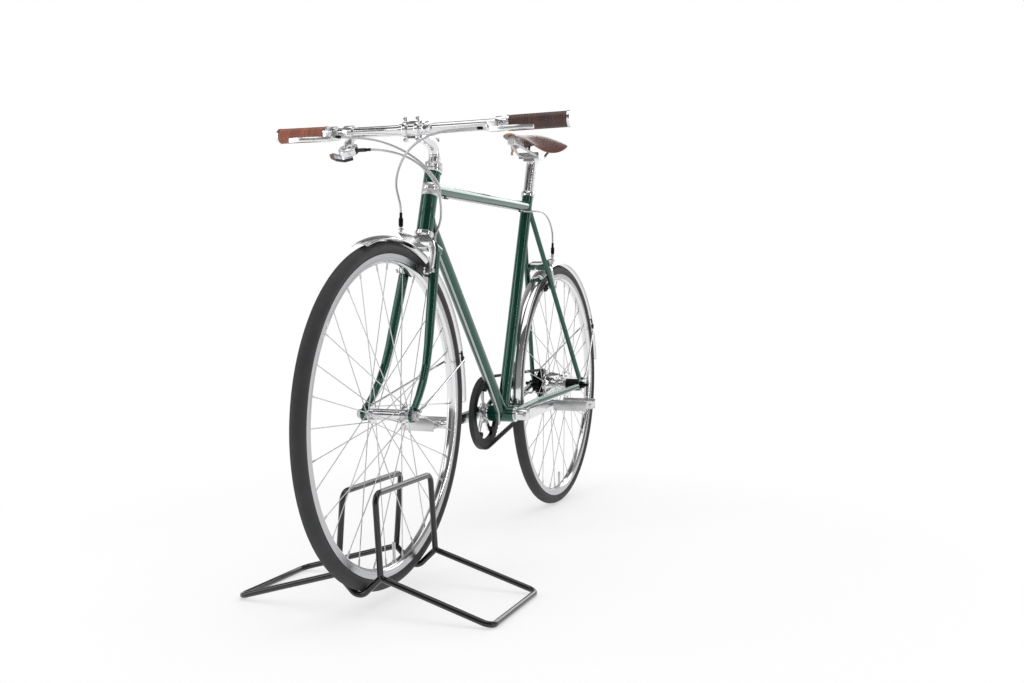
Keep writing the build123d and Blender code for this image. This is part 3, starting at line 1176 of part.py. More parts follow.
# share of the length from the tail, half width, edge's and crest's drop below the saddle's top
saddle_stations = (
    (0.0, 48, 17, 3), (0.1, 74, 24, 0), (0.27, 72, 46, 0), (0.45, 52, 55, 7),
    (0.65, 33, 42, 17), (0.85, 24, 35, 24), (1.0, 15, 32, 27))
with BuildPart() as saddle_leather:
    for share, half, edge_drop, crest_drop in saddle_stations:
        station = Plane(origin=tail_at + bike_ahead * (share * SADDLE_L), x_dir=(0, 1, 0), z_dir=bike_ahead)
        with BuildSketch(station):
            with BuildLine():
                ThreePointArc((-half, -edge_drop), (0, -crest_drop), (half, -edge_drop))
                Line((half, -edge_drop), (half - LEATHER_T, -edge_drop))
                ThreePointArc((half - LEATHER_T, -edge_drop), (0, -crest_drop - LEATHER_T),
                              (LEATHER_T - half, -edge_drop))
                Line((LEATHER_T - half, -edge_drop), (-half, -edge_drop))
            make_face()
    loft()
saddle_leather.part.label = "saddle_leather"
export_step(saddle_leather.part, "parts/saddle_leather.step")

# rails: two wires from a nose block, along the clamp, up to the plate under the tail
def inner_drop(station, left):
    """Depth of the leather's inner face under the saddle's top, at a station."""
    sag = station[2] - station[3] - LEATHER_T
    radius = ((station[1] - LEATHER_T) ** 2 + sag**2) / (2 * sag)
    return station[3] + LEATHER_T + radius - sqrt(radius**2 - left**2)


NOSE_BACK = 26          # nose block's middle behind the saddle's tip
NOSE_W = 18
NOSE_H = 20
NOSE_DROP = 31.8        # nose block's top under the saddle's top
CANTLE_Y = 52           # half width of the plate under the tail
CANTLE_H = 11
CANTLE_T = 6
RAIL_BEND = 14
nose_at = tail_at + bike_ahead * (SADDLE_L - NOSE_BACK) - bike_up * (NOSE_DROP + NOSE_H / 2)
cantle_station = saddle_stations[1]
cantle_at = tail_at + bike_ahead * (cantle_station[0] * SADDLE_L)
cantle_mid = -inner_drop(cantle_station, 0) - 3 * SEAT_GAP
cantle_end = -inner_drop(cantle_station, CANTLE_Y) - 3 * SEAT_GAP
with BuildPart() as saddle_frame:
    for side in (1, -1):
        points = (nose_at + Vector(0, side * NOSE_W / 3, -NOSE_H / 4),
                  clamp_at + bike_ahead * (CLAMP_L / 2 + 26) + Vector(0, side * RAIL_Y, 0),
                  clamp_at - bike_ahead * (CLAMP_L / 2 + 16) + Vector(0, side * RAIL_Y, 0),
                  cantle_at + Vector(0, side * CANTLE_Y * 0.7, 0) + bike_up * (cantle_end - CANTLE_H / 3))
        with BuildLine() as rail_line:
            FilletPolyline(*points, radius=RAIL_BEND)
        with BuildSketch(Plane(origin=points[0], z_dir=rail_line.line % 0)):
            Circle(RAIL_R)
        sweep(path=rail_line.line)
    with BuildSketch(Plane(origin=nose_at, x_dir=(0, 1, 0), z_dir=bike_ahead)):
        Rectangle(NOSE_W, NOSE_H)
    extrude(amount=NOSE_BACK / 3, both=True)
    with BuildSketch(Plane(origin=cantle_at, x_dir=(0, 1, 0), z_dir=bike_ahead)):
        with BuildLine():
            ThreePointArc((-CANTLE_Y, cantle_end), (0, cantle_mid), (CANTLE_Y, cantle_end))
            Line((CANTLE_Y, cantle_end), (CANTLE_Y - 4, cantle_end - CANTLE_H))
            ThreePointArc((CANTLE_Y - 4, cantle_end - CANTLE_H), (0, cantle_mid - CANTLE_H),
                          (4 - CANTLE_Y, cantle_end - CANTLE_H))
            Line((4 - CANTLE_Y, cantle_end - CANTLE_H), (-CANTLE_Y, cantle_end))
        make_face()
    extrude(amount=CANTLE_T / 2, both=True)
saddle_frame.part.label = "saddle_frame"
export_step(saddle_frame.part, "parts/saddle_frame.step")

# ---------------------------------------------------------------- cables
def arc_radii(points):
    """Radius of the arc at each inner point: as large as its two runs allow."""
    radii = []
    for before, here, after in zip(points, points[1:], points[2:]):
        shorter = min((here - before).length, (after - here).length)
        turn = radians((here - before).get_angle(after - here))
        radii.append(0.45 * shorter / tan(turn / 2))
    return radii


def cable_run(points, radius):
    """Round cable through straight runs joined by tangent arcs."""
    radii = arc_radii(points)
    with BuildPart() as run:
        with BuildLine() as path:
            FilletPolyline(*points, radius=radii)
        with BuildSketch(Plane(origin=points[0], z_dir=path.line % 0)):
            Circle(radius)
        sweep(path=path.line)
    length = sum(edge.length for edge in path.line.edges())
    share = run.part.volume / (pi * radius**2 * length)
    print("cable radii", [round(value) for value in radii], f"volume over section times length {share:.4f}")
    return run.part


CABLE_Y = LEVER_AT - 23         # housings' ends beside the levers, from the middle plane


adjuster_front = adjuster_foot(front_bolt, Vector(0, -1, 0), steer_ahead, steer_dir, front_stand_off)
adjuster_front = adjuster_front + bike_up * (ADJUSTER_L + SEAT_GAP)
front_brake_route = (
    steer_at(134, CABLE_Y, 164), steer_at(151, CABLE_Y * 0.85, 157), steer_at(158, CABLE_Y * 0.65, 151),
    steer_at(162, CABLE_Y * 0.46, 144), steer_at(160, CABLE_Y * 0.27, 133), steer_at(148, 14, 117),
    steer_at(129, -9, 98), steer_at(106, -26, 79), steer_at(81, -37, 67), steer_at(56, -43, 59),
    adjuster_front + bike_up * 23, adjuster_front)
with BuildPart() as front_brake_cable:
    add(cable_run(front_brake_route, CABLE_R))
front_brake_cable.part.label = "front_brake_cable"
export_step(front_brake_cable.part, "parts/front_brake_cable.step")

# rear brake: housing from the right lever to the top tube's front stop
rear_stop_end = stop_front_at + top_run * (STOP_L / 2 + SEAT_GAP)
rear_brake_route = (
    steer_at(134, -CABLE_Y, 164), steer_at(132, -CABLE_Y * 0.84, 162), steer_at(129, -CABLE_Y * 0.64, 160),
    steer_at(123, -CABLE_Y * 0.44, 156), steer_at(112, -CABLE_Y * 0.24, 147), steer_at(95, -11, 136),
    steer_at(72, 11, 123), steer_at(43, 24, 109), steer_at(9, 26, 98), steer_at(-18, 16, 91),
    rear_stop_end + top_run * 24, rear_stop_end)
with BuildPart() as rear_brake_housing:
    add(cable_run(rear_brake_route, CABLE_R))
rear_brake_housing.part.label = "rear_brake_housing"
export_step(rear_brake_housing.part, "parts/rear_brake_housing.step")

# gear housing from the shifter to the down tube, then along the frame to the hub
down_run = (down_front - bb_at).normalized()
down_under = Vector(down_run.Z, 0, -down_run.X)
GEAR_Y = 6              # gear housing beside the down tube's lowest line
UNDER_DOWN = DOWN_TUBE_R + CABLE_R + SEAT_GAP


def under_down_tube(up_tube):
    """Point on the gear housing's line under the down tube, from the bottom bracket."""
    return bb_at + down_run * up_tube + down_under * UNDER_DOWN + Vector(0, GEAR_Y, 0)


def under_chainstay(back):
    """Point on the gear housing's line under the right chainstay, this far behind the bottom bracket."""
    share = back / (0.38 * chainstay)
    y = CHAINSTAY_Y + (CHAINSTAY_KNEE_Y - CHAINSTAY_Y) * share
    if share > 1:
        rest = (back / chainstay - 0.38) / (0.62 - TIP_OUT / chainstay)
        y = CHAINSTAY_KNEE_Y + (STAY_Y - CHAINSTAY_KNEE_Y) * rest
    return bb_at - chain_dir * back + Vector(0, -y, -CHAINSTAY_R - CABLE_R - 2 * SEAT_GAP)


# gear housing's change from the steered to the fixed stretch, up the down tube
HANDOVER = (down_front - bb_at).length - 80
gear_route_front = (
    barrel_end + Vector(0, SEAT_GAP, 0), barrel_end + Vector(0, 18, 0), steer_at(106, -54, 139),
    steer_at(99, -26, 133), steer_at(86, -1, 124), steer_at(67, 18, 111), steer_at(47, 31, 93),
    steer_at(26, 37, 71), steer_at(6, 35, 47), steer_at(-15, 27, 26),
    under_down_tube(HANDOVER + 34), under_down_tube(HANDOVER))
with BuildPart() as gear_housing:
    add(cable_run(gear_route_front, CABLE_R))
gear_housing.part.label = "gear_housing"
export_step(gear_housing.part, "parts/gear_housing.step")

adjuster_rear = adjuster_foot(bridge_at, Vector(0, 1, 0), stay_back, stay_up, rear_stand_off)
adjuster_rear = adjuster_rear + bike_up * (ADJUSTER_L + SEAT_GAP)
rear_stop_back = stop_rear_at - top_run * (STOP_L / 2 + SEAT_GAP)


def beside_seat(share, left, rise):
    """Point over the way from the rear brake's stop to its adjuster: share of it, side and height."""
    way = adjuster_rear - rear_stop_back
    along = rear_stop_back + Vector(way.X, 0, way.Z) * share
    return along + Vector(0, left - STOP_LEFT, 0) + bike_up * rise


rear_loop_route = (
    rear_stop_back, rear_stop_back - top_run * 16, beside_seat(0.25, 15, 23),
    beside_seat(0.4, 24, 39), beside_seat(0.57, 29, 55), beside_seat(0.74, 33, 67),
    beside_seat(0.89, 36, 70), beside_seat(1.0, 39, 62),
    adjuster_rear + Vector(0, -3, 0) - bike_ahead * 6 + bike_up * 42,
    adjuster_rear + bike_up * 22, adjuster_rear)
SHIFT_TURN = -33        # gear housing's way into the shift unit, from straight ahead towards up
shift_mid = rear_axle_at + Vector(0, SHIFT_UNIT_T / 2 - shift_face, 0)
gear_route_rear = (
    under_down_tube(HANDOVER - SEAT_GAP), under_down_tube(45), bb_at + Vector(26, 2, -9),
    bb_at + Vector(13, -4, -26), bb_at + Vector(-12, -13, -27), under_chainstay(50),
    under_chainstay(0.38 * chainstay), under_chainstay(chainstay - 72),
    shift_mid + dir_xz(SHIFT_TURN) * (SHIFT_UNIT_R + 30),
    shift_mid + dir_xz(SHIFT_TURN) * (SHIFT_UNIT_R + SEAT_GAP))
bare_start = stop_rear_at - top_run * 2
with BuildPart() as frame_cables:
    add(cable_run(rear_loop_route, CABLE_R))
    add(cable_run(gear_route_rear, CABLE_R))
    with BuildSketch(towards(bare_start, stop_front_at)):
        Circle(WIRE_R)
    extrude(amount=(stop_front_at - bare_start).length + 2)
frame_cables.part.label = "frame_cables"
export_step(frame_cables.part, "parts/frame_cables.step")

# ---------------------------------------------------------------- wheel stand
def stand_at(ahead, left, up):
    """Point of the stand, from the floor under the front axle."""
    return Vector(front_axle_at.X + ahead, left, up)


half = STAND_L / 2
middle_plane = Plane.YZ.offset(front_axle_at.X)
stand_sides = {}
for side, name in ((1, "left"), (-1, "right")):
    with BuildPart() as stand_side:
        with BuildLine() as rod_line:
            FilletPolyline(stand_at(0, side * FOOT_Y, ROD_R), stand_at(half, side * FOOT_Y, ROD_R),
                           stand_at(half, side * JOINT_Y, JOINT_Z), stand_at(half, side * HOOP_GAP, HOOP_TOP),
                           stand_at(0, side * HOOP_GAP, HOOP_TOP), radius=(ROD_BEND, JOINT_BEND, ROD_BEND))
        with BuildSketch(Plane(origin=stand_at(0, side * FOOT_Y, ROD_R), z_dir=rod_line.line % 0)):
            Circle(ROD_R)
        sweep(path=rod_line.line)
        mirror(about=middle_plane)
    stand_sides[name] = stand_side.part
    stand_side.part.label = f"stand_{name}"
    export_step(stand_side.part, f"parts/stand_{name}.step")

# cross rods: bent to a rounded V that takes the tyre
cradle_bend = TYRE_W / 2 + ROD_R + SEAT_GAP
bend_z = front_axle_at.Z - sqrt((TYRE_R + ROD_R + SEAT_GAP) ** 2 - half**2) + cradle_bend
steep = atan2(JOINT_Z - bend_z, JOINT_Y) + asin(cradle_bend / sqrt(JOINT_Y**2 + (JOINT_Z - bend_z) ** 2))
cradle_z = JOINT_Z - JOINT_Y * tan(steep)
with BuildPart() as stand_crossbars:
    for ahead in (half, -half):
        with BuildLine() as cross_line:
            FilletPolyline(stand_at(ahead, JOINT_Y, JOINT_Z), stand_at(ahead, 0, cradle_z),
                           stand_at(ahead, -JOINT_Y, JOINT_Z), radius=cradle_bend)
        with BuildSketch(Plane(origin=stand_at(ahead, JOINT_Y, JOINT_Z), z_dir=cross_line.line % 0)):
            Circle(ROD_R)
        sweep(path=cross_line.line)
    for rods in stand_sides.values():
        add(rods, mode=Mode.SUBTRACT)
stand_crossbars.part.label = "stand_crossbars"
export_step(stand_crossbars.part, "parts/stand_crossbars.step")
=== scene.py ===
"""City bicycle in its wheel stand: finishes, fine detail and a plain studio.

Metres. X points forward, Y to the rider's left, Z up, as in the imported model, whose nodes are
loaded at the top and stay where they are. Places are worked out from those nodes and joints.
"""

import json
from math import cos, pi, radians, sin, sqrt
from random import Random

import bmesh
import bpy
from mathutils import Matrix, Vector
from mathutils.bvhtree import BVHTree


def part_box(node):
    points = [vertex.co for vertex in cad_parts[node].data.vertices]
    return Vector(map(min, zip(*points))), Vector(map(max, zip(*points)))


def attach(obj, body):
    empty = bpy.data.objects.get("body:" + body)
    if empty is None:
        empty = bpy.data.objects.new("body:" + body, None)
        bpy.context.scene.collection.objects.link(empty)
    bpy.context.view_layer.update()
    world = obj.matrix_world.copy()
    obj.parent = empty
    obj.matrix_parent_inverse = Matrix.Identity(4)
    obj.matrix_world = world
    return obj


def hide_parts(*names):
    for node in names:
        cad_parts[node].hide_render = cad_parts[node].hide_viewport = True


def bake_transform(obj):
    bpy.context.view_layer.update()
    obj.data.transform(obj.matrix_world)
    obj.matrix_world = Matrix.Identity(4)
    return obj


bl_info = {
    "name": "City bicycle finishes",
    "version": (1, 0, 0),
    "blender": (4, 5, 0),
    "location": "3D View > Sidebar > Bicycle",
    "description": "Finishes, fasteners, cables, leather and studio for a belt driven city bicycle",
    "category": "Object",
}

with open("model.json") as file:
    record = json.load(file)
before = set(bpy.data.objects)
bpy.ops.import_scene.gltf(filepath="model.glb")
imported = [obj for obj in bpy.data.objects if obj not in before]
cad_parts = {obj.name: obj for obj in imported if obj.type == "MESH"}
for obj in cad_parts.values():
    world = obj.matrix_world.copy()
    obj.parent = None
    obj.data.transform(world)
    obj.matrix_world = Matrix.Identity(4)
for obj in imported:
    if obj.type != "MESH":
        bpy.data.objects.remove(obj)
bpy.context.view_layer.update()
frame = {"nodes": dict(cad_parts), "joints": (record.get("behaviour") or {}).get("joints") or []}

MM = 0.001
LEFT = Vector((0, 1, 0))

# millimetres
TYRE_R = 341
BAR_R = 11.1
BAR_BEND = 55           # where the bar's straight middle ends
LEVER_AT = 188          # clamps on the bar, from the middle plane
SHIFTER_AT = 150

# metres
HEAD_TUBE_R = 0.0175
TOP_TUBE_R = 0.0129
DOWN_TUBE_R = 0.0143
SEAT_TUBE_R = 0.0143
SHELL_R = 0.020         # bottom bracket's shell
EYELET_REACH = 0.021    # fenders' eyelets, from the axles


def middle(node):
    """Centre of a node's box."""
    low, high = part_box(node)
    return (low + high) / 2


def joint(name):
    """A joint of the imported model, by name."""
    return next(item for item in frame["joints"] if item["name"] == name)


FRONT_AXLE = middle("front_rim")
REAR_AXLE = middle("rear_rim")
AHEAD = (FRONT_AXLE - REAR_AXLE).normalized()
UP = Vector((-AHEAD.z, 0, AHEAD.x))
HEAD_FOOT = Vector(joint("steering")["pos_m"])
STEER_UP = Vector(joint("steering")["axis"])
STEER_AHEAD = Vector((STEER_UP.z, 0, -STEER_UP.x))
CRANK_AXLE = Vector(joint("crank_spin")["pos_m"])


def from_axle(x, y, z):
    """Point x ahead of the rear axle, y left and z over the rear tyre's foot, in millimetres."""
    return REAR_AXLE + (AHEAD * x + LEFT * y + UP * (z - TYRE_R)) * MM


def steer_at(ahead, left, up):
    """Point in the steering axis' own directions from the head tube's foot, in millimetres."""
    return HEAD_FOOT + (STEER_AHEAD * ahead + LEFT * left + STEER_UP * up) * MM


BAR_MID = steer_at(112.2, 0, 180.6)
BAR_END = BAR_MID + (UP * 7 - AHEAD * 22 + LEFT * 326) * MM
BAR_KNEE = BAR_MID + LEFT * BAR_BEND * MM
BAR_OUT = (BAR_END - BAR_KNEE).normalized()
SEAT_TOP = from_axle(254.7, 0, 862)


def on_bar(left):
    """Point on the bar's left half, this many millimetres from the middle plane."""
    return BAR_KNEE + BAR_OUT * ((left - BAR_BEND) * MM / BAR_OUT.y)


def mirrored(point):
    """The same point on the other side of the middle plane."""
    return Vector((point[0], -point[1], point[2]))


def wheel_dir(turn):
    """Direction from an axle in the middle plane, in degrees from straight ahead towards up."""
    return AHEAD * cos(radians(turn)) + UP * sin(radians(turn))


# ---------------------------------------------------------------- settings
def colour_property(name, description, default):
    """A colour that a user may change."""
    return bpy.props.FloatVectorProperty(name=name, description=description, default=default,
                                         subtype="COLOR", size=3, min=0.0, max=1.0)


def length_property(name, description, default):
    """A length that a user may change."""
    return bpy.props.FloatProperty(name=name, description=description, default=default,
                                   unit="LENGTH", min=0.0)


def power_property(name, description, default):
    """A lamp's power that a user may change."""
    return bpy.props.FloatProperty(name=name, description=description, default=default,
                                   unit="POWER", min=0.0)


class BicycleColours(bpy.types.PropertyGroup):
    """Colours of the bicycle's finishes."""

    paint: colour_property("Paint", "Enamel of the frame and fork", (0.002, 0.040, 0.025))
    paint_flake: colour_property("Paint flake", "Metal flake in the enamel", (0.005, 0.125, 0.075))
    alloy: colour_property("Alloy", "Polished aluminium", (0.80, 0.80, 0.81))
    rim: colour_property("Rim", "Rims' aluminium", (0.56, 0.56, 0.575))
    chrome: colour_property("Chrome", "Chromed steel", (0.83, 0.83, 0.84))
    steel: colour_property("Steel", "Spokes, bolts and axles", (0.62, 0.62, 0.63))
    dark_leather: colour_property("Dark leather", "Left grip", (0.055, 0.020, 0.014))
    light_leather: colour_property("Light leather", "Right grip", (0.235, 0.065, 0.034))
    saddle: colour_property("Saddle", "Saddle's hide", (0.080, 0.016, 0.009))
    cut_edge: colour_property("Cut edge", "Saddle's cut edge", (0.52, 0.20, 0.085))
    copper: colour_property("Copper", "Saddle's rivets", (0.72, 0.56, 0.45))
    rubber: colour_property("Rubber", "Tyres", (0.030, 0.030, 0.032))
    black: colour_property("Black", "Belt, ring and black hub parts", (0.014, 0.014, 0.015))
    sheath: colour_property("Sheath", "Cable housings", (0.50, 0.50, 0.51))
    stand: colour_property("Stand", "Stand's enamel", (0.010, 0.010, 0.011))


class BicycleSizes(bpy.types.PropertyGroup):
    """Sizes of the fine detail."""

    spoke_radius: length_property("Spoke radius", "Radius of a spoke", 0.001)
    nipple_length: length_property("Nipple length", "Length of a spoke's nipple", 0.013)
    tyre_rib: length_property("Tyre rib", "Height of the ribs round a tyre", 0.0004)
    leather_ring: length_property("Leather ring", "Width of one ring of a grip", 0.0031)
    rivet_radius: length_property("Rivet radius", "Radius of a saddle rivet", 0.0052)
    bolt_radius: length_property("Bolt radius", "Radius of a small bolt's head", 0.0037)
    edge_round: length_property("Edge rounding", "Rounding of cast and forged edges", 0.0007)
    fender_bead: length_property("Fender bead", "Radius of the rolled edge of a fender", 0.0011)
    weld_bead: length_property("Weld bead", "Radius of the fillet where two tubes meet", 0.0022)
    housing_radius: length_property("Housing radius", "Radius of a cable housing", 0.0023)
    wire_radius: length_property("Wire radius", "Radius of a bare cable", 0.0008)
    edge_bead: length_property("Saddle edge", "Radius of the saddle's burnished edge", 0.0016)
    hide_round: length_property("Hide rounding", "Rounding of the saddle's cut edge", 0.0019)


class BicycleStudio(bpy.types.PropertyGroup):
    """Camera, floor and lamps."""

    camera_at: bpy.props.FloatVectorProperty(
        name="Camera", description="Camera's place", default=(2.3920, 0.9745, 0.5999),
        subtype="XYZ", size=3)
    camera_towards: bpy.props.FloatVectorProperty(
        name="View", description="Camera's direction", default=(-0.9331, -0.3568, -0.0443),
        subtype="DIRECTION", size=3)
    lens: bpy.props.FloatProperty(name="Lens", description="Focal length in millimetres",
                                  default=37.49, min=1.0)
    floor_radius: length_property("Floor radius", "Radius of the floor", 30.0)
    room_light: bpy.props.FloatProperty(name="Room light", description="Even light from all round",
                                        default=0.56, min=0.0)
    key_power: power_property("Key lamp", "Power of the lamp overhead", 42.0)
    strip_power: power_property("Strip lamps", "Power of a tall side lamp", 9.0)
    soft_power: power_property("Soft lamp", "Power of the wide lamp ahead to the right", 20.0)
    front_power: power_property("Front lamp", "Power of the lamp ahead and above", 4.0)
    panel_power: power_property("Rear panel", "Power of the wide panel behind", 26.0)


def colour(name):
    """One of the bicycle's colours, with alpha."""
    return (*getattr(bpy.context.scene.bicycle_colours, name), 1.0)


def size(name):
    """One of the detail sizes, in metres."""
    return getattr(bpy.context.scene.bicycle_sizes, name)


# ---------------------------------------------------------------- shader groups
def new_group(name, inputs, outputs):
    """Empty shader group with named sockets, and its input and output nodes."""
    group = bpy.data.node_groups.new(name, "ShaderNodeTree")
    for socket_name, kind, default in inputs:
        socket = group.interface.new_socket(socket_name, in_out="INPUT", socket_type=kind)
        if default is not None:
            socket.default_value = default
    for socket_name, kind in outputs:
        group.interface.new_socket(socket_name, in_out="OUTPUT", socket_type=kind)
    return group, group.nodes.new("NodeGroupInput"), group.nodes.new("NodeGroupOutput")


def add_node(tree, kind, settings=(), values=(), links=()):
    """Node in a tree, with its settings, input values and links from other sockets."""
    node = tree.nodes.new(kind)
    for key, value in settings:
        setattr(node, key, value)
    for key, value in values:
        node.inputs[key].default_value = value
    for key, source in links:
        tree.links.new(source, node.inputs[key])
    return node


def math_node(tree, operation, first, second=0.0):
    """Math node of one or two values, each a socket or a number."""
    node = tree.nodes.new("ShaderNodeMath")
    node.operation = operation
    for index, value in enumerate((first, second)):
        if isinstance(value, (int, float)):
            node.inputs[index].default_value = value
        else:
            tree.links.new(value, node.inputs[index])
    return node.outputs[0]


def grain_group():
    """Fine grain, stretched along one direction: brushed metal, cast metal or hide."""
    group, start, end = new_group(
        "Fine grain",
        (("Vector", "NodeSocketVector", None), ("Stretch", "NodeSocketVector", (1, 1, 1)),
         ("Scale", "NodeSocketFloat", 900.0), ("Cells", "NodeSocketFloat", 0.0)),
        (("Height", "NodeSocketFloat"), ("Tone", "NodeSocketFloat")))
    stretched = add_node(group, "ShaderNodeVectorMath", (("operation", "MULTIPLY"),),
                         links=((0, start.outputs["Vector"]), (1, start.outputs["Stretch"])))
    noise = add_node(group, "ShaderNodeTexNoise", values=(("Detail", 5.0), ("Roughness", 0.6)),
                     links=(("Vector", stretched.outputs[0]), ("Scale", start.outputs["Scale"])))
    cells = add_node(group, "ShaderNodeTexVoronoi", (("feature", "DISTANCE_TO_EDGE"),),
                     links=(("Vector", stretched.outputs[0]), ("Scale", start.outputs["Scale"])))
    crease = math_node(group, "MULTIPLY", cells.outputs["Distance"], 3.0)
    creased = math_node(group, "MINIMUM", crease, 1.0)
    height = add_node(group, "ShaderNodeMix", (("data_type", "FLOAT"),),
                      links=((0, start.outputs["Cells"]), (2, noise.outputs["Fac"]), (3, creased)))
    tone = add_node(group, "ShaderNodeTexNoise", values=(("Detail", 3.0),),
                    links=(("Vector", start.outputs["Vector"]),
                           ("Scale", math_node(group, "MULTIPLY", start.outputs["Scale"], 0.045))))
    group.links.new(height.outputs[0], end.inputs["Height"])
    group.links.new(tone.outputs["Fac"], end.inputs["Tone"])
    return group


HAIR_SCRATCH = 0.0035   # share of the noise that a hair scratch takes


def handling_group():
    """Smudges and hair scratches that handling leaves on a finish."""
    group, start, end = new_group(
        "Handling marks",
        (("Vector", "NodeSocketVector", None), ("Scale", "NodeSocketFloat", 14.0),
         ("Roughness", "NodeSocketFloat", 0.2), ("Spread", "NodeSocketFloat", 0.1)),
        (("Roughness", "NodeSocketFloat"), ("Smudge", "NodeSocketFloat"),
         ("Scratch", "NodeSocketFloat")))
    smudge = add_node(group, "ShaderNodeTexNoise",
                      values=(("Detail", 6.0), ("Roughness", 0.65), ("Distortion", 0.6)),
                      links=(("Vector", start.outputs["Vector"]), ("Scale", start.outputs["Scale"])))
    lines = add_node(group, "ShaderNodeTexNoise", values=(("Detail", 2.0), ("Distortion", 2.5)),
                     links=(("Vector", start.outputs["Vector"]),
                            ("Scale", math_node(group, "MULTIPLY", start.outputs["Scale"], 4.0))))
    near = math_node(group, "ABSOLUTE", math_node(group, "SUBTRACT", lines.outputs["Fac"], 0.5))
    scratch = math_node(group, "LESS_THAN", near, HAIR_SCRATCH)
    swing = math_node(group, "MULTIPLY", math_node(group, "SUBTRACT", smudge.outputs["Fac"], 0.5),
                      start.outputs["Spread"])
    rough = math_node(group, "ADD", start.outputs["Roughness"], math_node(group, "MULTIPLY", swing, 2.0))
    scratched = math_node(group, "ADD", rough, math_node(group, "MULTIPLY", scratch, 0.06))
    clamped = math_node(group, "MAXIMUM", scratched, 0.02)
    group.links.new(clamped, end.inputs["Roughness"])
    group.links.new(smudge.outputs["Fac"], end.inputs["Smudge"])
    group.links.new(scratch, end.inputs["Scratch"])
    return group


def turning_group():
    """Rings round an axle, as turning, moulding or a brake leaves them."""
    group, start, end = new_group(
        "Turned rings",
        (("Vector", "NodeSocketVector", None), ("Pitch", "NodeSocketFloat", 0.0006)),
        (("Height", "NodeSocketFloat"),))
    flat = add_node(group, "ShaderNodeVectorMath", (("operation", "MULTIPLY"),), ((1, (1, 0, 1)),),
                    ((0, start.outputs["Vector"]),))
    reach = add_node(group, "ShaderNodeVectorMath", (("operation", "LENGTH"),),
                     links=((0, flat.outputs[0]),))
    turns = math_node(group, "DIVIDE", reach.outputs["Value"], start.outputs["Pitch"])
    wave = math_node(group, "SINE", math_node(group, "MULTIPLY", turns, 2 * pi))
    group.links.new(wave, end.inputs["Height"])
    return group


def use_group(tree, name, values=(), links=()):
    """A shader group placed in a material."""
    node = tree.nodes.new("ShaderNodeGroup")
    node.node_tree = bpy.data.node_groups[name]
    for key, value in values:
        node.inputs[key].default_value = value
    for key, source in links:
        tree.links.new(source, node.inputs[key])
    return node


# ---------------------------------------------------------------- materials
def start_material(name, sockets, centre=None):
    """Material with a Principled shader, and its Object coordinates, centred where asked."""
    material = bpy.data.materials.new(name)
    material.use_nodes = True
    tree = material.node_tree
    shader = tree.nodes["Principled BSDF"]
    for key, value in sockets:
        shader.inputs[key].default_value = value
    place = add_node(tree, "ShaderNodeTexCoord").outputs["Object"]
    if centre is not None:
        shift = add_node(tree, "ShaderNodeMapping", values=(("Location", -centre),),
                         links=(("Vector", place),))
        place = shift.outputs["Vector"]
    return material, tree, shader, place


def two_tones(tree, shader, factor, first, second):
    """Base colour between two colours by a mask."""
    blend = add_node(tree, "ShaderNodeMix", (("data_type", "RGBA"),), ((6, first), (7, second)),
                     ((0, factor),))
    tree.links.new(blend.outputs[2], shader.inputs["Base Color"])


def bumped(tree, shader, height, strength, distance):
    """Bump on a shader from a height."""
    bump = add_node(tree, "ShaderNodeBump", values=(("Strength", strength), ("Distance", distance)),
                    links=(("Height", height),))
    tree.links.new(bump.outputs["Normal"], shader.inputs["Normal"])


def handled(tree, shader, place, roughness, spread, *more):
    """Handling marks on a material, with its roughness taken from them."""
    marks = use_group(tree, "Handling marks", (("Roughness", roughness), ("Spread", spread), *more),
                      (("Vector", place),))
    tree.links.new(marks.outputs["Roughness"], shader.inputs["Roughness"])
    return marks


def ringed(tree, place, height, pitch, strength):
    """A height with turned rings added to it."""
    rings = use_group(tree, "Turned rings", (("Pitch", pitch),), (("Vector", place),))
    return math_node(tree, "ADD", height, math_node(tree, "MULTIPLY", rings.outputs["Height"], strength))


def shade(rgba, factor):
    """A colour made lighter or darker."""
    return (*(min(1.0, part * factor) for part in rgba[:3]), 1.0)


# bumps' heights, in metres, and the enamel's patterns
METAL_GRAIN = 0.0002
BRAID_DEPTH = 0.0002
RUBBER_GRAIN = 0.0003
HIDE_GRAIN = 0.0004
PEEL_DEPTH = 0.0003
PEEL_SCALE = 160.0
FLAKE_SCALE = 3600.0
TYRE_RING_PITCH = 0.0021


def metal_finish(name, rgba, roughness, spread, stretch=(1, 1, 1), scale=900.0, bump=0.08, ring_centre=None,
                 ring_pitch=0.0006, ring_bump=0.25):
    """Bare, polished or plated metal: grain, smudges, hair scratches, and turned rings where asked."""
    material, tree, shader, place = start_material(name, (("Metallic", 1.0),), ring_centre)
    grain = use_group(tree, "Fine grain", (("Stretch", stretch), ("Scale", scale)), (("Vector", place),))
    marks = handled(tree, shader, place, roughness, spread)
    two_tones(tree, shader, marks.outputs["Smudge"], shade(rgba, 0.93), shade(rgba, 1.05))
    height = grain.outputs["Height"]
    if ring_centre is not None:
        height = ringed(tree, place, height, ring_pitch, ring_bump)
    bumped(tree, shader, height, bump, METAL_GRAIN)
    return material


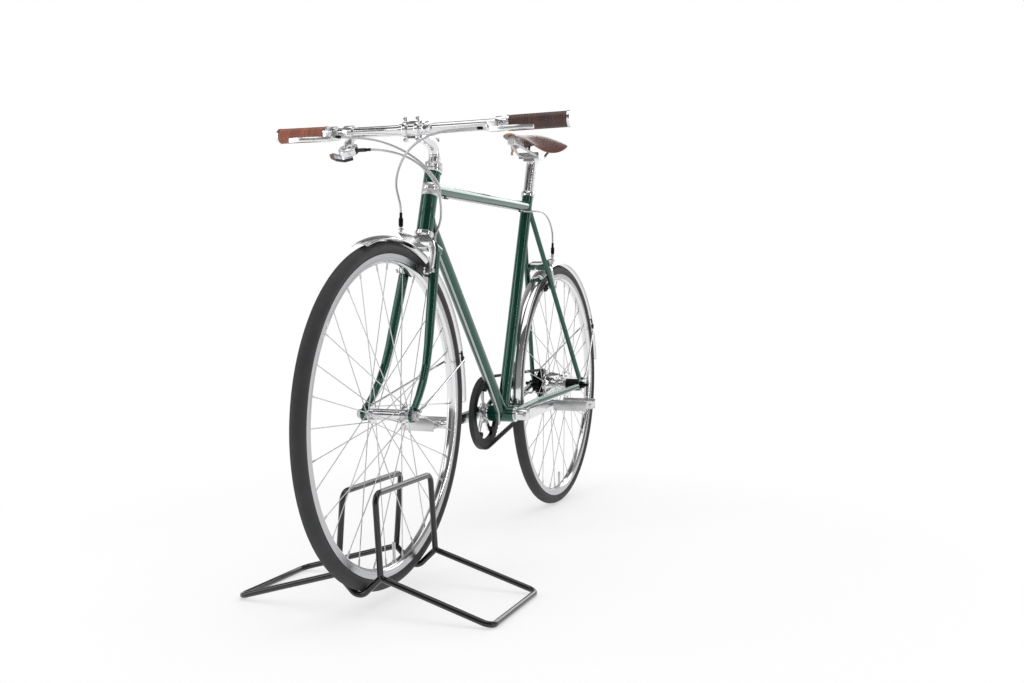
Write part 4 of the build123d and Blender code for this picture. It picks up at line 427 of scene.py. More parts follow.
def enamel_finish(name, rgba, flake_rgba, flake_share):
    """Glossy enamel with metal flake under a clear coat, a little orange peel and faint dust."""
    material, tree, shader, place = start_material(
        name, (("Metallic", 0.85), ("Specular IOR Level", 0.1), ("Coat Weight", 1.0),
               ("Coat Roughness", 0.02), ("Coat IOR", 1.55)))
    flakes = add_node(tree, "ShaderNodeTexVoronoi", values=(("Scale", FLAKE_SCALE),),
                      links=(("Vector", place),))
    spark = add_node(tree, "ShaderNodeSeparateColor", links=((0, flakes.outputs["Color"]),))
    picked = math_node(tree, "GREATER_THAN", spark.outputs[0], 1.0 - flake_share)
    marks = handled(tree, shader, place, 0.28, 0.06)
    depth = add_node(tree, "ShaderNodeMix", (("data_type", "RGBA"),),
                     ((6, shade(rgba, 0.82)), (7, shade(rgba, 1.15))), ((0, marks.outputs["Smudge"]),))
    tone = add_node(tree, "ShaderNodeMix", (("data_type", "RGBA"),), ((7, flake_rgba),),
                    ((0, picked), (6, depth.outputs[2])))
    tree.links.new(tone.outputs[2], shader.inputs["Base Color"])
    peel = add_node(tree, "ShaderNodeTexNoise", values=(("Scale", PEEL_SCALE), ("Detail", 1.0)),
                    links=(("Vector", place),))
    bumped(tree, shader, peel.outputs["Fac"], 0.05, PEEL_DEPTH)
    return material


def leather_finish(name, rgba, light_rgba, gloss, scale=520.0, cells=0.55, coat=0.25, stretch=(1, 1, 1),
                   by_ring=False):
    """Waxed hide: pores, creases, tone from wear and, on a stack, from each ring, and a soft sheen."""
    material, tree, shader, place = start_material(name, (("Coat Weight", coat), ("Coat Roughness", 0.25)))
    grain = use_group(tree, "Fine grain", (("Stretch", stretch), ("Scale", scale), ("Cells", cells)),
                      (("Vector", place),))
    marks = handled(tree, shader, place, gloss, 0.14, ("Scale", 26.0))
    worn = math_node(tree, "MULTIPLY", grain.outputs["Tone"], marks.outputs["Smudge"])
    factor = math_node(tree, "MINIMUM", math_node(tree, "MULTIPLY", worn, 1.6), 1.0)
    if by_ring:
        ring = add_node(tree, "ShaderNodeAttribute", (("attribute_name", "tone"),))
        factor = math_node(tree, "MULTIPLY", math_node(tree, "ADD", factor, ring.outputs["Fac"]), 0.55)
    two_tones(tree, shader, factor, shade(rgba, 0.7), light_rgba)
    bumped(tree, shader, grain.outputs["Height"], 0.35, HIDE_GRAIN)
    return material


def rubber_finish(name, rgba, roughness, scale=700.0, bump=0.3, ring_centre=None):
    """Rubber: fine moulded grain, pale dust in its hollows, rings round a tyre."""
    material, tree, shader, place = start_material(name, (("Specular IOR Level", 0.4),), ring_centre)
    grain = use_group(tree, "Fine grain", (("Scale", scale),), (("Vector", place),))
    marks = handled(tree, shader, place, roughness, 0.1)
    dust = math_node(tree, "MULTIPLY", marks.outputs["Smudge"], grain.outputs["Tone"])
    two_tones(tree, shader, dust, shade(rgba, 0.8), shade(rgba, 2.1))
    height = grain.outputs["Height"]
    if ring_centre is not None:
        height = ringed(tree, place, height, TYRE_RING_PITCH, 0.6)
    bumped(tree, shader, height, bump, RUBBER_GRAIN)
    return material


def sheath_finish(name, rgba):
    """Cable housing: a fine braid under a clear sleeve."""
    material, tree, shader, place = start_material(
        name, (("Metallic", 0.55), ("Coat Weight", 0.6), ("Coat Roughness", 0.12)))
    braid = add_node(tree, "ShaderNodeTexWave", (("wave_type", "BANDS"), ("bands_direction", "DIAGONAL")),
                     (("Scale", 190.0), ("Distortion", 1.5)), (("Vector", place),))
    handled(tree, shader, place, 0.3, 0.08)
    two_tones(tree, shader, braid.outputs["Fac"], shade(rgba, 0.86), shade(rgba, 1.08))
    bumped(tree, shader, braid.outputs["Fac"], 0.15, BRAID_DEPTH)
    return material


def make_finishes():
    """Every material of the bicycle and its stand, by name."""
    grain_group()
    handling_group()
    turning_group()
    metal_finish("polished alloy", colour("alloy"), 0.13, 0.05)
    metal_finish("cast alloy", colour("alloy"), 0.2, 0.08, bump=0.1)
    metal_finish("fender metal", colour("alloy"), 0.09, 0.05, scale=500.0, bump=0.05)
    metal_finish("chrome", colour("chrome"), 0.045, 0.03, bump=0.03)
    metal_finish("steel", colour("steel"), 0.22, 0.08)
    metal_finish("satin band", shade(colour("alloy"), 0.9), 0.5, 0.06, bump=0.05)
    metal_finish("bar alloy", colour("alloy"), 0.14, 0.06, stretch=(1, 0.08, 1))
    metal_finish("pedal alloy", shade(colour("alloy"), 0.85), 0.32, 0.1, bump=0.2)
    metal_finish("copper", colour("copper"), 0.25, 0.1)
    metal_finish("front rim alloy", colour("rim"), 0.24, 0.06, ring_centre=FRONT_AXLE)
    metal_finish("rear rim alloy", colour("rim"), 0.24, 0.06, ring_centre=REAR_AXLE)
    metal_finish("front hub alloy", colour("alloy"), 0.12, 0.05, ring_centre=FRONT_AXLE, ring_pitch=0.0009)
    metal_finish("rear hub alloy", colour("alloy"), 0.1, 0.05, ring_centre=REAR_AXLE, ring_pitch=0.0009)
    metal_finish("anodised black", shade(colour("black"), 1.3), 0.34, 0.1, bump=0.12)
    enamel_finish("frame enamel", colour("paint"), colour("paint_flake"), 0.4)
    enamel_finish("stand enamel", colour("stand"), shade(colour("stand"), 2.0), 0.02)
    leather_finish("dark leather", colour("dark_leather"), shade(colour("dark_leather"), 1.9), 0.5,
                   by_ring=True)
    leather_finish("light leather", colour("light_leather"), shade(colour("light_leather"), 1.7), 0.46,
                   by_ring=True)
    leather_finish("saddle hide", colour("saddle"), shade(colour("saddle"), 2.0), 0.34, coat=0.35,
                   scale=430.0)
    leather_finish("cut edge", colour("cut_edge"), shade(colour("cut_edge"), 1.3), 0.6, coat=0.0,
                   cells=0.1)
    rubber_finish("front tyre rubber", colour("rubber"), 0.62, ring_centre=FRONT_AXLE)
    rubber_finish("rear tyre rubber", colour("rubber"), 0.62, ring_centre=REAR_AXLE)
    rubber_finish("pad rubber", colour("rubber"), 0.55)
    rubber_finish("belt rubber", colour("black"), 0.48, scale=1100.0)
    rubber_finish("black plastic", shade(colour("black"), 1.4), 0.35, scale=1300.0, bump=0.12)
    sheath_finish("housing sheath", colour("sheath"))


# CAD nodes that keep their own mesh, with the finish that each gets
NODE_FINISHES = (
    ("frame enamel", ("head_tube", "seat_tube", "top_tube", "down_tube", "bottom_bracket_shell",
                      "chainstay_left", "chainstay_right", "seatstays", "fork_crown", "fork_blade_left",
                      "fork_blade_right")),
    ("chrome", ("headset_cups", "headset_locknut", "bell", "seat_collar")),
    ("polished alloy", ("stem", "stem_straps", "seatpost", "grip_rings", "bottom_bracket_cups")),
    ("bar alloy", ("handlebar",)),
    ("cast alloy", ("front_brake", "rear_brake", "brake_lever_left", "brake_lever_right", "crank_left",
                    "crank_right")),
    ("fender metal", ("front_fender", "rear_fender")),
    ("front rim alloy", ("front_rim",)),
    ("rear rim alloy", ("rear_rim",)),
    ("front hub alloy", ("front_hub",)),
    ("rear hub alloy", ("rear_hub",)),
    ("steel", ("front_spokes", "rear_spokes", "front_axle", "saddle_frame", "crank_spindle")),
    ("anodised black", ("rear_axle", "rear_sprocket", "chainring", "shifter")),
    ("pedal alloy", ("pedal_left", "pedal_right")),
    ("dark leather", ("grip_left",)),
    ("light leather", ("grip_right",)),
    ("saddle hide", ("saddle_leather",)),
    ("front tyre rubber", ("front_tyre",)),
    ("rear tyre rubber", ("rear_tyre",)),
    ("pad rubber", ("front_brake_pads", "rear_brake_pads")),
    ("belt rubber", ("belt",)),
    ("housing sheath", ("front_brake_cable", "rear_brake_housing", "gear_housing", "frame_cables")),
    ("stand enamel", ("stand_left", "stand_right", "stand_crossbars")),
)


class BICYCLE_OT_finishes(bpy.types.Operator):
    """Make the materials and give each carried-over node its finish"""

    bl_idname = "bicycle.finishes"
    bl_label = "Finishes"

    def execute(self, context):
        make_finishes()
        for finish, nodes in NODE_FINISHES:
            for node in nodes:
                for place in frame["nodes"][node].material_slots:
                    place.material = bpy.data.materials[finish]
        return {"FINISHED"}


# ---------------------------------------------------------------- mesh helpers
def finish_piece(piece, finish, body, slot, *nodes, second=None):
    """Finish a piece: its material, its body (none if it bends) and what it replaces; its slot is not used.
    """
    picked = [face.material_index for face in piece.data.polygons]
    piece.data.materials.clear()
    piece.data.materials.append(bpy.data.materials[finish])
    if second:
        piece.data.materials.append(bpy.data.materials[second])
        piece.data.polygons.foreach_set("material_index", picked)
    if body:
        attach(piece, body)
    if nodes:
        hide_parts(*nodes)
    return piece


def in_scene(name, data):
    """Object of a mesh, a curve, a lamp or a camera, put into the scene."""
    holder = bpy.data.objects.new(name, data)
    bpy.context.scene.collection.objects.link(holder)
    return holder


def smooth_to(mesh, sharp):
    """Shade a mesh smooth but for edges sharper than an angle, in degrees."""
    mesh.shade_smooth()
    mesh.set_sharp_from_angle(angle=radians(sharp))


def mesh_object(name, points, faces, sharp=35):
    """Object from points and faces, smooth but for edges sharper than an angle, faces outwards."""
    mesh = bpy.data.meshes.new(name)
    mesh.from_pydata([tuple(point) for point in points], [], faces)
    work = bmesh.new()
    work.from_mesh(mesh)
    bmesh.ops.remove_doubles(work, verts=work.verts, dist=1e-7)
    bmesh.ops.recalc_face_normals(work, faces=work.faces)
    work.to_mesh(mesh)
    work.free()
    smooth_to(mesh, sharp)
    return in_scene(name, mesh)


def across(axis):
    """Two directions square to an axis and to each other."""
    axis = Vector(axis).normalized()
    side = axis.cross(Vector((0, 0, 1)))
    if side.length < 0.1:
        side = axis.cross(Vector((0, 1, 0)))
    side.normalize()
    return side, axis.cross(side)


def lathe_data(outline, segments, origin, axis, closed=False):
    """Points and faces of an outline of (radius, along) turned about an axis."""
    axis = Vector(axis).normalized()
    side, other = across(axis)
    points, rings, faces = [], [], []
    for radius, along in outline:
        centre = Vector(origin) + axis * along
        if radius < 1e-7:
            rings.append([len(points)] * segments)
            points.append(centre)
            continue
        rings.append(list(range(len(points), len(points) + segments)))
        for step in range(segments):
            turn = 2 * pi * step / segments
            points.append(centre + (side * cos(turn) + other * sin(turn)) * radius)
    pairs = list(zip(rings, rings[1:]))
    if closed:
        pairs.append((rings[-1], rings[0]))
    for low, high in pairs:
        for step in range(segments):
            after = (step + 1) % segments
            face = [low[step], low[after], high[after], high[step]]
            face = [index for place, index in enumerate(face) if index not in face[:place]]
            if len(face) > 2:
                faces.append(face)
    return points, faces


def lathe(name, outline, segments, origin, axis, closed=False, sharp=35):
    """Turned object from an outline of (radius, along) in metres."""
    points, faces = lathe_data(outline, segments, origin, axis, closed)
    return mesh_object(name, points, faces, sharp)


def tube_mesh(name, points, radius, smooth=True, resolution=12):
    """Round tube along points: a smooth line through them, or straight runs between them."""
    curve = bpy.data.curves.new(name, "CURVE")
    curve.dimensions = "3D"
    curve.bevel_depth = radius
    curve.bevel_resolution = 5
    curve.use_fill_caps = True
    curve.resolution_u = resolution
    spline = curve.splines.new("NURBS" if smooth else "POLY")
    spline.points.add(len(points) - 1)
    for control, point in zip(spline.points, points):
        control.co = (*point, 1.0)
    if smooth:
        spline.order_u = 3
        spline.use_endpoint_u = True
    holder = in_scene(name, curve)
    bpy.context.view_layer.update()
    mesh = bpy.data.meshes.new_from_object(holder.evaluated_get(bpy.context.evaluated_depsgraph_get()))
    bpy.data.objects.remove(holder)
    bpy.data.curves.remove(curve)
    mesh.name = name
    smooth_to(mesh, 40)
    return in_scene(name, mesh)


def joined(name, pieces):
    """One object from several, with their meshes put together."""
    points, faces = [], []
    for piece in pieces:
        first = len(points)
        points.extend(tuple(vertex.co) for vertex in piece.data.vertices)
        faces.extend([index + first for index in face.vertices] for face in piece.data.polygons)
        mesh = piece.data
        bpy.data.objects.remove(piece)
        bpy.data.meshes.remove(mesh)
    mesh = bpy.data.meshes.new(name)
    mesh.from_pydata(points, [], faces)
    smooth_to(mesh, 35)
    return in_scene(name, mesh)


def plain_mesh(piece):
    """Replace an object's mesh by its evaluated one and drop its modifiers."""
    bpy.context.view_layer.update()
    mesh = bpy.data.meshes.new_from_object(piece.evaluated_get(bpy.context.evaluated_depsgraph_get()))
    piece.modifiers.clear()
    piece.data = mesh
    return piece


def merged_copy(node, name, angle=38):
    """Copy of a node with its triangles merged into faces."""
    source = frame["nodes"][node].data
    points = [vertex.co.copy() for vertex in source.vertices]
    faces = [list(face.vertices) for face in source.polygons]
    piece = mesh_object(name, points, faces, sharp=angle)
    work = bmesh.new()
    work.from_mesh(piece.data)
    bmesh.ops.dissolve_limit(work, angle_limit=radians(0.4), verts=work.verts, edges=work.edges)
    work.to_mesh(piece.data)
    work.free()
    return piece


def rounded(piece, width, angle=38, bevel_finish=-1):
    """The piece with its sharp edges rounded, the roundings in a finish of their own where asked."""
    bevel = piece.modifiers.new("Round edges", "BEVEL")
    bevel.width = width
    bevel.segments = 2
    bevel.limit_method = "ANGLE"
    bevel.angle_limit = radians(angle)
    bevel.harden_normals = False
    bevel.material = bevel_finish
    while len(piece.data.materials) <= bevel_finish:
        piece.data.materials.append(None)
    plain_mesh(piece)
    smooth_to(piece.data, angle)
    return piece


def arc_line(axle, radius, left, first, last, count):
    """Points of an arc about an axle, from one turn to another, in degrees and millimetres."""
    turns = [first + (last - first) * step / (count - 1) for step in range(count)]
    return [axle + (wheel_dir(turn) * radius + LEFT * left) * MM for turn in turns]


def surface_of(mesh):
    """A mesh's faces, ready to find where a straight line meets them."""
    return BVHTree.FromPolygons([vertex.co for vertex in mesh.vertices],
                                [tuple(face.vertices) for face in mesh.polygons])


def on_node(node, start, way):
    """Point and normal where a straight line first meets a node's surface."""
    surface = surface_of(frame["nodes"][node].data)
    point, normal = surface.ray_cast(start, Vector(way).normalized())[:2]
    if point is None:
        raise RuntimeError(f"nothing of {node} lies that way")
    return point, normal


# ---------------------------------------------------------------- geometry node trees
def geometry_tree(name, inputs):
    """Geometry Nodes tree with named inputs, and its input and output nodes."""
    tree = bpy.data.node_groups.new(name, "GeometryNodeTree")
    tree.interface.new_socket("Geometry", in_out="INPUT", socket_type="NodeSocketGeometry")
    for socket_name, kind, default in inputs:
        socket = tree.interface.new_socket(socket_name, in_out="INPUT", socket_type=kind)
        if default is not None:
            socket.default_value = default
    tree.interface.new_socket("Geometry", in_out="OUTPUT", socket_type="NodeSocketGeometry")
    return tree, tree.nodes.new("NodeGroupInput"), tree.nodes.new("NodeGroupOutput")


def run_tree(piece, tree, values):
    """Run a tree on an object with its inputs' values, and keep the result as a plain mesh."""
    modifier = piece.modifiers.new(tree.name, "NODES")
    modifier.node_group = tree
    for item in tree.interface.items_tree:
        if item.in_out == "INPUT" and item.name in values:
            modifier[item.identifier] = values[item.name]
    plain_mesh(piece)
    smooth_to(piece.data, 35)
    return piece


def painted_end(tree, start, end, geometry):
    """Make a tree's copies real, give them the material and put them out."""
    real = add_node(tree, "GeometryNodeRealizeInstances", links=((0, geometry),))
    painted = add_node(tree, "GeometryNodeSetMaterial",
                       links=(("Geometry", real.outputs[0]), ("Material", start.outputs["Material"])))
    tree.links.new(painted.outputs[0], end.inputs["Geometry"])


def copies_tree():
    """A small shape on each point, turned to the point's axis and scaled by its size."""
    tree, start, end = geometry_tree(
        "Copies on points",
        (("Shape", "NodeSocketObject", None), ("Material", "NodeSocketMaterial", None),
         ("Size", "NodeSocketFloat", 1.0)))
    shape = add_node(tree, "GeometryNodeObjectInfo", (("transform_space", "ORIGINAL"),),
                     links=(("Object", start.outputs["Shape"]),))
    axis = add_node(tree, "GeometryNodeInputNamedAttribute", (("data_type", "FLOAT_VECTOR"),),
                    (("Name", "axis"),))
    scale = add_node(tree, "GeometryNodeInputNamedAttribute", (("data_type", "FLOAT"),),
                     (("Name", "scale"),))
    turn = add_node(tree, "FunctionNodeAlignRotationToVector", (("axis", "Z"),),
                    links=(("Vector", axis.outputs[0]),))
    total = math_node(tree, "MULTIPLY", scale.outputs[0], start.outputs["Size"])
    copies = add_node(tree, "GeometryNodeInstanceOnPoints", links=(
        ("Points", start.outputs["Geometry"]), ("Instance", shape.outputs["Geometry"]),
        ("Rotation", turn.outputs[0]), ("Scale", total)))
    painted_end(tree, start, end, copies.outputs[0])
    return tree


def spokes_tree():
    """Round wires along edges, with a nipple at the edge's second end."""
    tree, start, end = geometry_tree(
        "Spokes",
        (("Radius", "NodeSocketFloat", 0.001), ("Nipple length", "NodeSocketFloat", 0.013),
         ("Material", "NodeSocketMaterial", None)))
    wires = add_node(tree, "GeometryNodeMeshToCurve", links=((0, start.outputs["Geometry"]),))
    ring = add_node(tree, "GeometryNodeCurvePrimitiveCircle", values=(("Resolution", 8),),
                    links=(("Radius", start.outputs["Radius"]),))
    round_wires = add_node(tree, "GeometryNodeCurveToMesh", values=(("Fill Caps", True),),
                           links=(("Curve", wires.outputs[0]), ("Profile Curve", ring.outputs[0])))
    outer = add_node(tree, "GeometryNodeTrimCurve", (("mode", "LENGTH"),),
                     links=(("Curve", wires.outputs[0]),))
    reach = add_node(tree, "GeometryNodeSplineLength")
    tree.links.new(math_node(tree, "SUBTRACT", reach.outputs["Length"], start.outputs["Nipple length"]),
                   outer.inputs[4])
    tree.links.new(reach.outputs["Length"], outer.inputs[5])
    nipple_ring = add_node(tree, "GeometryNodeCurvePrimitiveCircle", values=(("Resolution", 8),))
    tree.links.new(math_node(tree, "MULTIPLY", start.outputs["Radius"], 1.9), nipple_ring.inputs["Radius"])
    nipples = add_node(tree, "GeometryNodeCurveToMesh", values=(("Fill Caps", True),),
                       links=(("Curve", outer.outputs[0]), ("Profile Curve", nipple_ring.outputs[0])))
    both = tree.nodes.new("GeometryNodeJoinGeometry")
    tree.links.new(nipples.outputs[0], both.inputs[0])
    tree.links.new(round_wires.outputs[0], both.inputs[0])
    painted_end(tree, start, end, both.outputs[0])
    return tree


def tree_named(name, builder):
    """A tree by name, built the first time it is asked for."""
    return bpy.data.node_groups.get(name) or builder()


def points_object(name, places):
    """Loose points, each with an axis and a scale, from (point, axis, scale)."""
    mesh = bpy.data.meshes.new(name)
    mesh.from_pydata([tuple(point) for point, axis, scale in places], [], [])
    mesh.attributes.new("axis", "FLOAT_VECTOR", "POINT")
    mesh.attributes.new("scale", "FLOAT", "POINT")
    for index, (point, axis, scale) in enumerate(places):
        mesh.attributes["axis"].data[index].vector = Vector(axis).normalized()
        mesh.attributes["scale"].data[index].value = scale
    return in_scene(name, mesh)


def copies(name, shape, places, finish, body, slot, unit=1.0):
    """Copies of a small shape on points, as one piece that rides on a body."""
    piece = points_object(name, places)
    tree = tree_named("Copies on points", copies_tree)
    run_tree(piece, tree, {"Shape": shape, "Material": bpy.data.materials[finish], "Size": unit})
    return finish_piece(piece, finish, body, slot)


def shape_object(name, points, faces):
    """Small shape kept out of the scene, for copies."""
    piece = mesh_object(name, points, faces)
    bpy.context.scene.collection.objects.unlink(piece)
    return piece


def socket_bolt():
    """Button head with a hexagon socket, radius 1, foot at 0."""
    segments = 24
    top, floor = 0.93, 0.35
    flats, corners = 0.45, 0.52
    outline = ((1.0, 0.0), (1.0, 0.45), (0.92, 0.7), (0.7, 0.9), (0.56, top))
    points, faces = lathe_data(outline, segments, Vector(), Vector((0, 0, 1)))
    rim = list(range(len(points) - segments, len(points)))
    six = []
    for depth in (top, floor):
        for corner in range(segments):
            turn = 2 * pi * corner / segments
            flat = radians(30) - abs((turn % radians(60)) - radians(30))
            reach = flats / cos(radians(30) - flat) if flat else corners
            side, other = across(Vector((0, 0, 1)))
            six.append(len(points))
            points.append(Vector((0, 0, depth)) + (side * cos(turn) + other * sin(turn)) * reach)
    for step in range(segments):
        after = (step + 1) % segments
        faces.append([rim[step], rim[after], six[after], six[step]])
        faces.append([six[step], six[after], six[segments + after], six[segments + step]])
    faces.append(six[segments:])
    return shape_object("socket_bolt_shape", points, faces)


def dome(name, height=0.55):
    """Rivet or cap nut: a low dome of radius 1."""
    foot = 0.12
    outline = [(1.0, 0.0), (1.0, foot)]
    outline += [(cos(radians(turn)), foot + height * sin(radians(turn))) for turn in (18, 36, 54, 72)]
    outline.append((0.0, foot + height))
    points, faces = lathe_data(outline, 20, Vector(), Vector((0, 0, 1)))
    return shape_object(name, points, faces)


def hex_nut(name):
    """Six-sided nut of radius 1 with a domed end."""
    points, faces = lathe_data(((1.0, 0.0), (1.0, 0.75), (0.86, 0.9)), 6, Vector(), Vector((0, 0, 1)))
    top, cap = lathe_data(((0.8, 0.85), (0.72, 1.25), (0.45, 1.5), (0.0, 1.6)), 18, Vector(),
                          Vector((0, 0, 1)))
    first = len(points)
    faces.append([12, 13, 14, 15, 16, 17])
    points = points + top
    faces = faces + [[index + first for index in face] for face in cap]
    return shape_object(name, points, faces)


# ---------------------------------------------------------------- wheels
WHEELS = (("front", FRONT_AXLE), ("rear", REAR_AXLE))
SPOKES = 32
CROWN_LINES = 60        # lines round a tyre's crown, every other one on a rib
RIM_HALF = (            # half of the rim's section: radius and distance from its middle, millimetres
    (317.0, 8.8), (317.0, 10.5), (316.7, 10.8), (308.6, 10.8), (308.2, 10.5), (307.4, 10.5),
    (307.0, 10.8), (303.4, 10.8), (302.8, 10.4), (299.4, 6.8), (298.3, 5.2), (298.0, 3.6))
INNER_WALL_R = 0.3031   # inside this radius a rim is polished


class BICYCLE_OT_tyres(bpy.types.Operator):
    """Tyres with a ribbed crown, smooth walls and a bead line"""

    bl_idname = "bicycle.tyres"
    bl_label = "Tyres"

    def execute(self, context):
        for name, axle in WHEELS:
            low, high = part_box(f"{name}_tyre")
            outer = (high.x - low.x) / 2
            half = (high.y - low.y) / 2
            rib = size("tyre_rib")
            outline = [(outer - 0.031, -0.0084), (outer - 0.0255, -0.0084), (outer - 0.0235, -0.0095)]
            for index in range(CROWN_LINES + 1):
                lean = -100 + 200 * index / CROWN_LINES
                ridge = rib * (index % 2) if abs(lean) < 58 else rib
                if 64 < abs(lean) < 70:
                    ridge = 0.0
                reach = half - rib + ridge
                outline.append((outer - half + reach * cos(radians(lean)), reach * sin(radians(lean))))
            outline += [(outer - 0.0235, 0.0095), (outer - 0.0255, 0.0084), (outer - 0.031, 0.0084)]
            piece = lathe(f"{name}_tyre_ribbed", outline, 180, axle, LEFT, closed=True, sharp=50)
            finish_piece(piece, f"{name} tyre rubber", f"{name}_wheel", "tyre", f"{name}_tyre")
        return {"FINISHED"}


class BICYCLE_OT_rims(bpy.types.Operator):
    """Rims with turned brake tracks, a wear groove and polished inner walls"""

    bl_idname = "bicycle.rims"
    bl_label = "Rims"

    def execute(self, context):
        outline = [(radius * MM, left * MM) for radius, left in RIM_HALF]
        outline += [(radius * MM, -left * MM) for radius, left in reversed(RIM_HALF)]
        outline += [(0.309, -0.0088), (0.309, 0.0088)]
        for name, axle in WHEELS:
            piece = lathe(f"{name}_rim_turned", outline, 192, axle, LEFT, closed=True, sharp=28)
            for face in piece.data.polygons:
                reach = face.center - axle
                if reach.x**2 + reach.z**2 < INNER_WALL_R**2:
                    face.material_index = 1
            finish_piece(piece, f"{name} rim alloy", f"{name}_wheel", "rim_alloy", f"{name}_rim",
                         second="polished alloy")
        return {"FINISHED"}


def spoke_ends(axle, flange_r, flange_y, cross):
    """Hub and rim ends of a wheel's spokes, alternately leaning each way, in metres."""
    ends = []
    for index in range(SPOKES):
        side = 1 if index % 2 else -1
        lean = 1 if index // 2 % 2 else -1
        at_rim = radians(index * 360 / SPOKES)
        at_hub = at_rim + lean * radians(cross)
        apart = LEFT * lean * 1.2
        hub_dir = AHEAD * cos(at_hub) + UP * sin(at_hub)
        rim_dir = AHEAD * cos(at_rim) + UP * sin(at_rim)
        hub_end = axle + (hub_dir * (flange_r - 2.5) + LEFT * side * flange_y + apart) * MM
        rim_end = axle + (rim_dir * 298 + LEFT * side * 2 + apart) * MM
        ends.append((hub_end, rim_end))
    return ends


class BICYCLE_OT_spokes(bpy.types.Operator):
    """Round spokes with nipples at the rim and heads at the hub's flanges"""

    bl_idname = "bicycle.spokes"
    bl_label = "Spokes"

    def execute(self, context):
        tree = tree_named("Spokes", spokes_tree)
        head = dome("spoke_head_shape")
        for name, axle, flange_r, flange_y, cross in (
                ("front", FRONT_AXLE, 19, 35, 67.5), ("rear", REAR_AXLE, 39, 29, 45)):
            ends = spoke_ends(axle, flange_r, flange_y, cross)
            mesh = bpy.data.meshes.new(f"{name}_spokes_round")
            mesh.from_pydata([tuple(point) for pair in ends for point in pair],
                             [(2 * index, 2 * index + 1) for index in range(len(ends))], [])
            piece = in_scene(f"{name}_spokes_round", mesh)
            run_tree(piece, tree, {"Radius": size("spoke_radius"), "Nipple length": size("nipple_length"),
                                   "Material": bpy.data.materials["steel"]})
            finish_piece(piece, "steel", f"{name}_wheel", "steel", f"{name}_spokes")
            heads = [(hub_end + LEFT * (0.0016 if hub_end.y > axle.y else -0.0016),
                      LEFT if hub_end.y > axle.y else -LEFT, 1.0) for hub_end, _ in ends]
            copies(f"{name}_spoke_heads", head, heads, "steel", f"{name}_wheel", "steel", unit=0.0019)
        return {"FINISHED"}


class BICYCLE_OT_hub_barrel(bpy.types.Operator):
    """Polished barrel of the geared rear hub, stepped down to its left end"""

    bl_idname = "bicycle.hub_barrel"
    bl_label = "Hub barrel"

    def execute(self, context):
        outline = [(radius * MM, left * MM) for radius, left in (
            (12, -26), (30, -26), (33, -24.5), (34, -22), (34, -3), (33.4, -2.2), (33.4, 8), (32, 12),
            (30.6, 14), (30.4, 21), (28, 24), (12, 25))]
        piece = lathe("rear_hub_barrel", outline, 72, REAR_AXLE, LEFT, closed=True, sharp=28)
        finish_piece(piece, "rear hub alloy", "rear_wheel", "polished_alloy")
        return {"FINISHED"}


class BICYCLE_OT_valves(bpy.types.Operator):
    """A valve and its knurled nut in each rim"""

    bl_idname = "bicycle.valves"
    bl_label = "Valves"

    def execute(self, context):
        for name, axle in WHEELS:
            turn = radians(360 / SPOKES * 23.5)
            inward = -(AHEAD * cos(turn) + UP * sin(turn))
            foot = axle - inward * 0.2985
            outline = ((0.0052, 0.0), (0.0052, 0.003), (0.0031, 0.0036), (0.0031, 0.026), (0.0036, 0.0262),
                       (0.0036, 0.038), (0.003, 0.04), (0.0, 0.041))
            piece = lathe(f"{name}_valve", outline, 20, foot, inward)
            finish_piece(piece, "steel", f"{name}_wheel", "steel")
        return {"FINISHED"}


# ---------------------------------------------------------------- cables
FRONT_BRAKE_ROUTE = [steer_at(*stop) for stop in (
    (134, 165, 164), (151, 140.3, 157), (158, 107.3, 151), (162, 75.9, 144), (160, 44.6, 133),
    (148, 14, 117), (129, -9, 98), (106, -26, 79), (81, -37, 67), (56, -43, 59), (34.3, -45, 43.9),
    (27.7, -45, 21.9))]
REAR_BRAKE_ROUTE = [steer_at(*stop) for stop in (
    (134, -165, 164), (132, -138.6, 162), (129, -105.6, 160), (123, -72.6, 156), (112, -39.6, 147),
    (95, -11, 136), (72, 11, 123), (43, 24, 109), (9, 26, 98), (-18, 16, 91), (-40.3, 6, 96.1),
    (-63.1, 6, 103.6))]
GEAR_ROUTE = [steer_at(*stop) for stop in (
    (101.6, -108.7, 146.5), (101.6, -91, 146.5), (106, -54, 139), (99, -26, 133), (86, -1, 124),
    (67, 18, 111), (47, 31, 93), (26, 37, 71), (6, 35, 47), (-15, 27, 26), (-32.1, 6, -3),
    (-61.9, 6, -19.4))]
REAR_LOOP_ROUTE = [from_axle(*stop) for stop in (
    (321.3, 6, 808.4), (305.3, 6, 808.9), (286.2, 15, 809.8), (265.2, 24, 812.8),
    (241.4, 29, 814.2), (217.6, 33, 811.5), (196.5, 36, 801.5), (181.1, 39, 784), (175.1, 42, 764),
    (181.1, 45, 744), (181.1, 45, 722))]
GEAR_ROUTE_REAR = [from_axle(*stop) for stop in (
    (831.1, 6, 675.4), (472.6, 6, 312.2), (454.7, 2, 282.5), (441.4, -4, 265.7),
    (416.4, -13, 265.3), (379, -23.7, 286.3), (265.7, -30, 299.2), (71.3, -62.5, 321.4),
    (44.4, -62, 312.1), (19.5, -62, 328.3))]
TOP_WIRE = (from_axle(788.8, 6, 793.5), from_axle(325.6, 6, 808.2))


def housing_end(route, last=False):
    """Place, direction and size of the ferrule on one end of a housing."""
    mouth, inside = (route[-1], route[-2]) if last else (route[0], route[1])
    return mouth, inside - mouth, 1.0


def ferrule():
    """Metal cap on a housing's end, 12 mm long, with its mouth at 0."""
    outline = ((0.0014, 0.0), (0.0027, 0.0), (0.0031, 0.0005), (0.0031, 0.0105), (0.0027, 0.012),
               (0.0023, 0.012))
    points, faces = lathe_data(outline, 16, Vector(), Vector((0, 0, 1)), closed=True)
    return shape_object("ferrule_shape", points, faces)


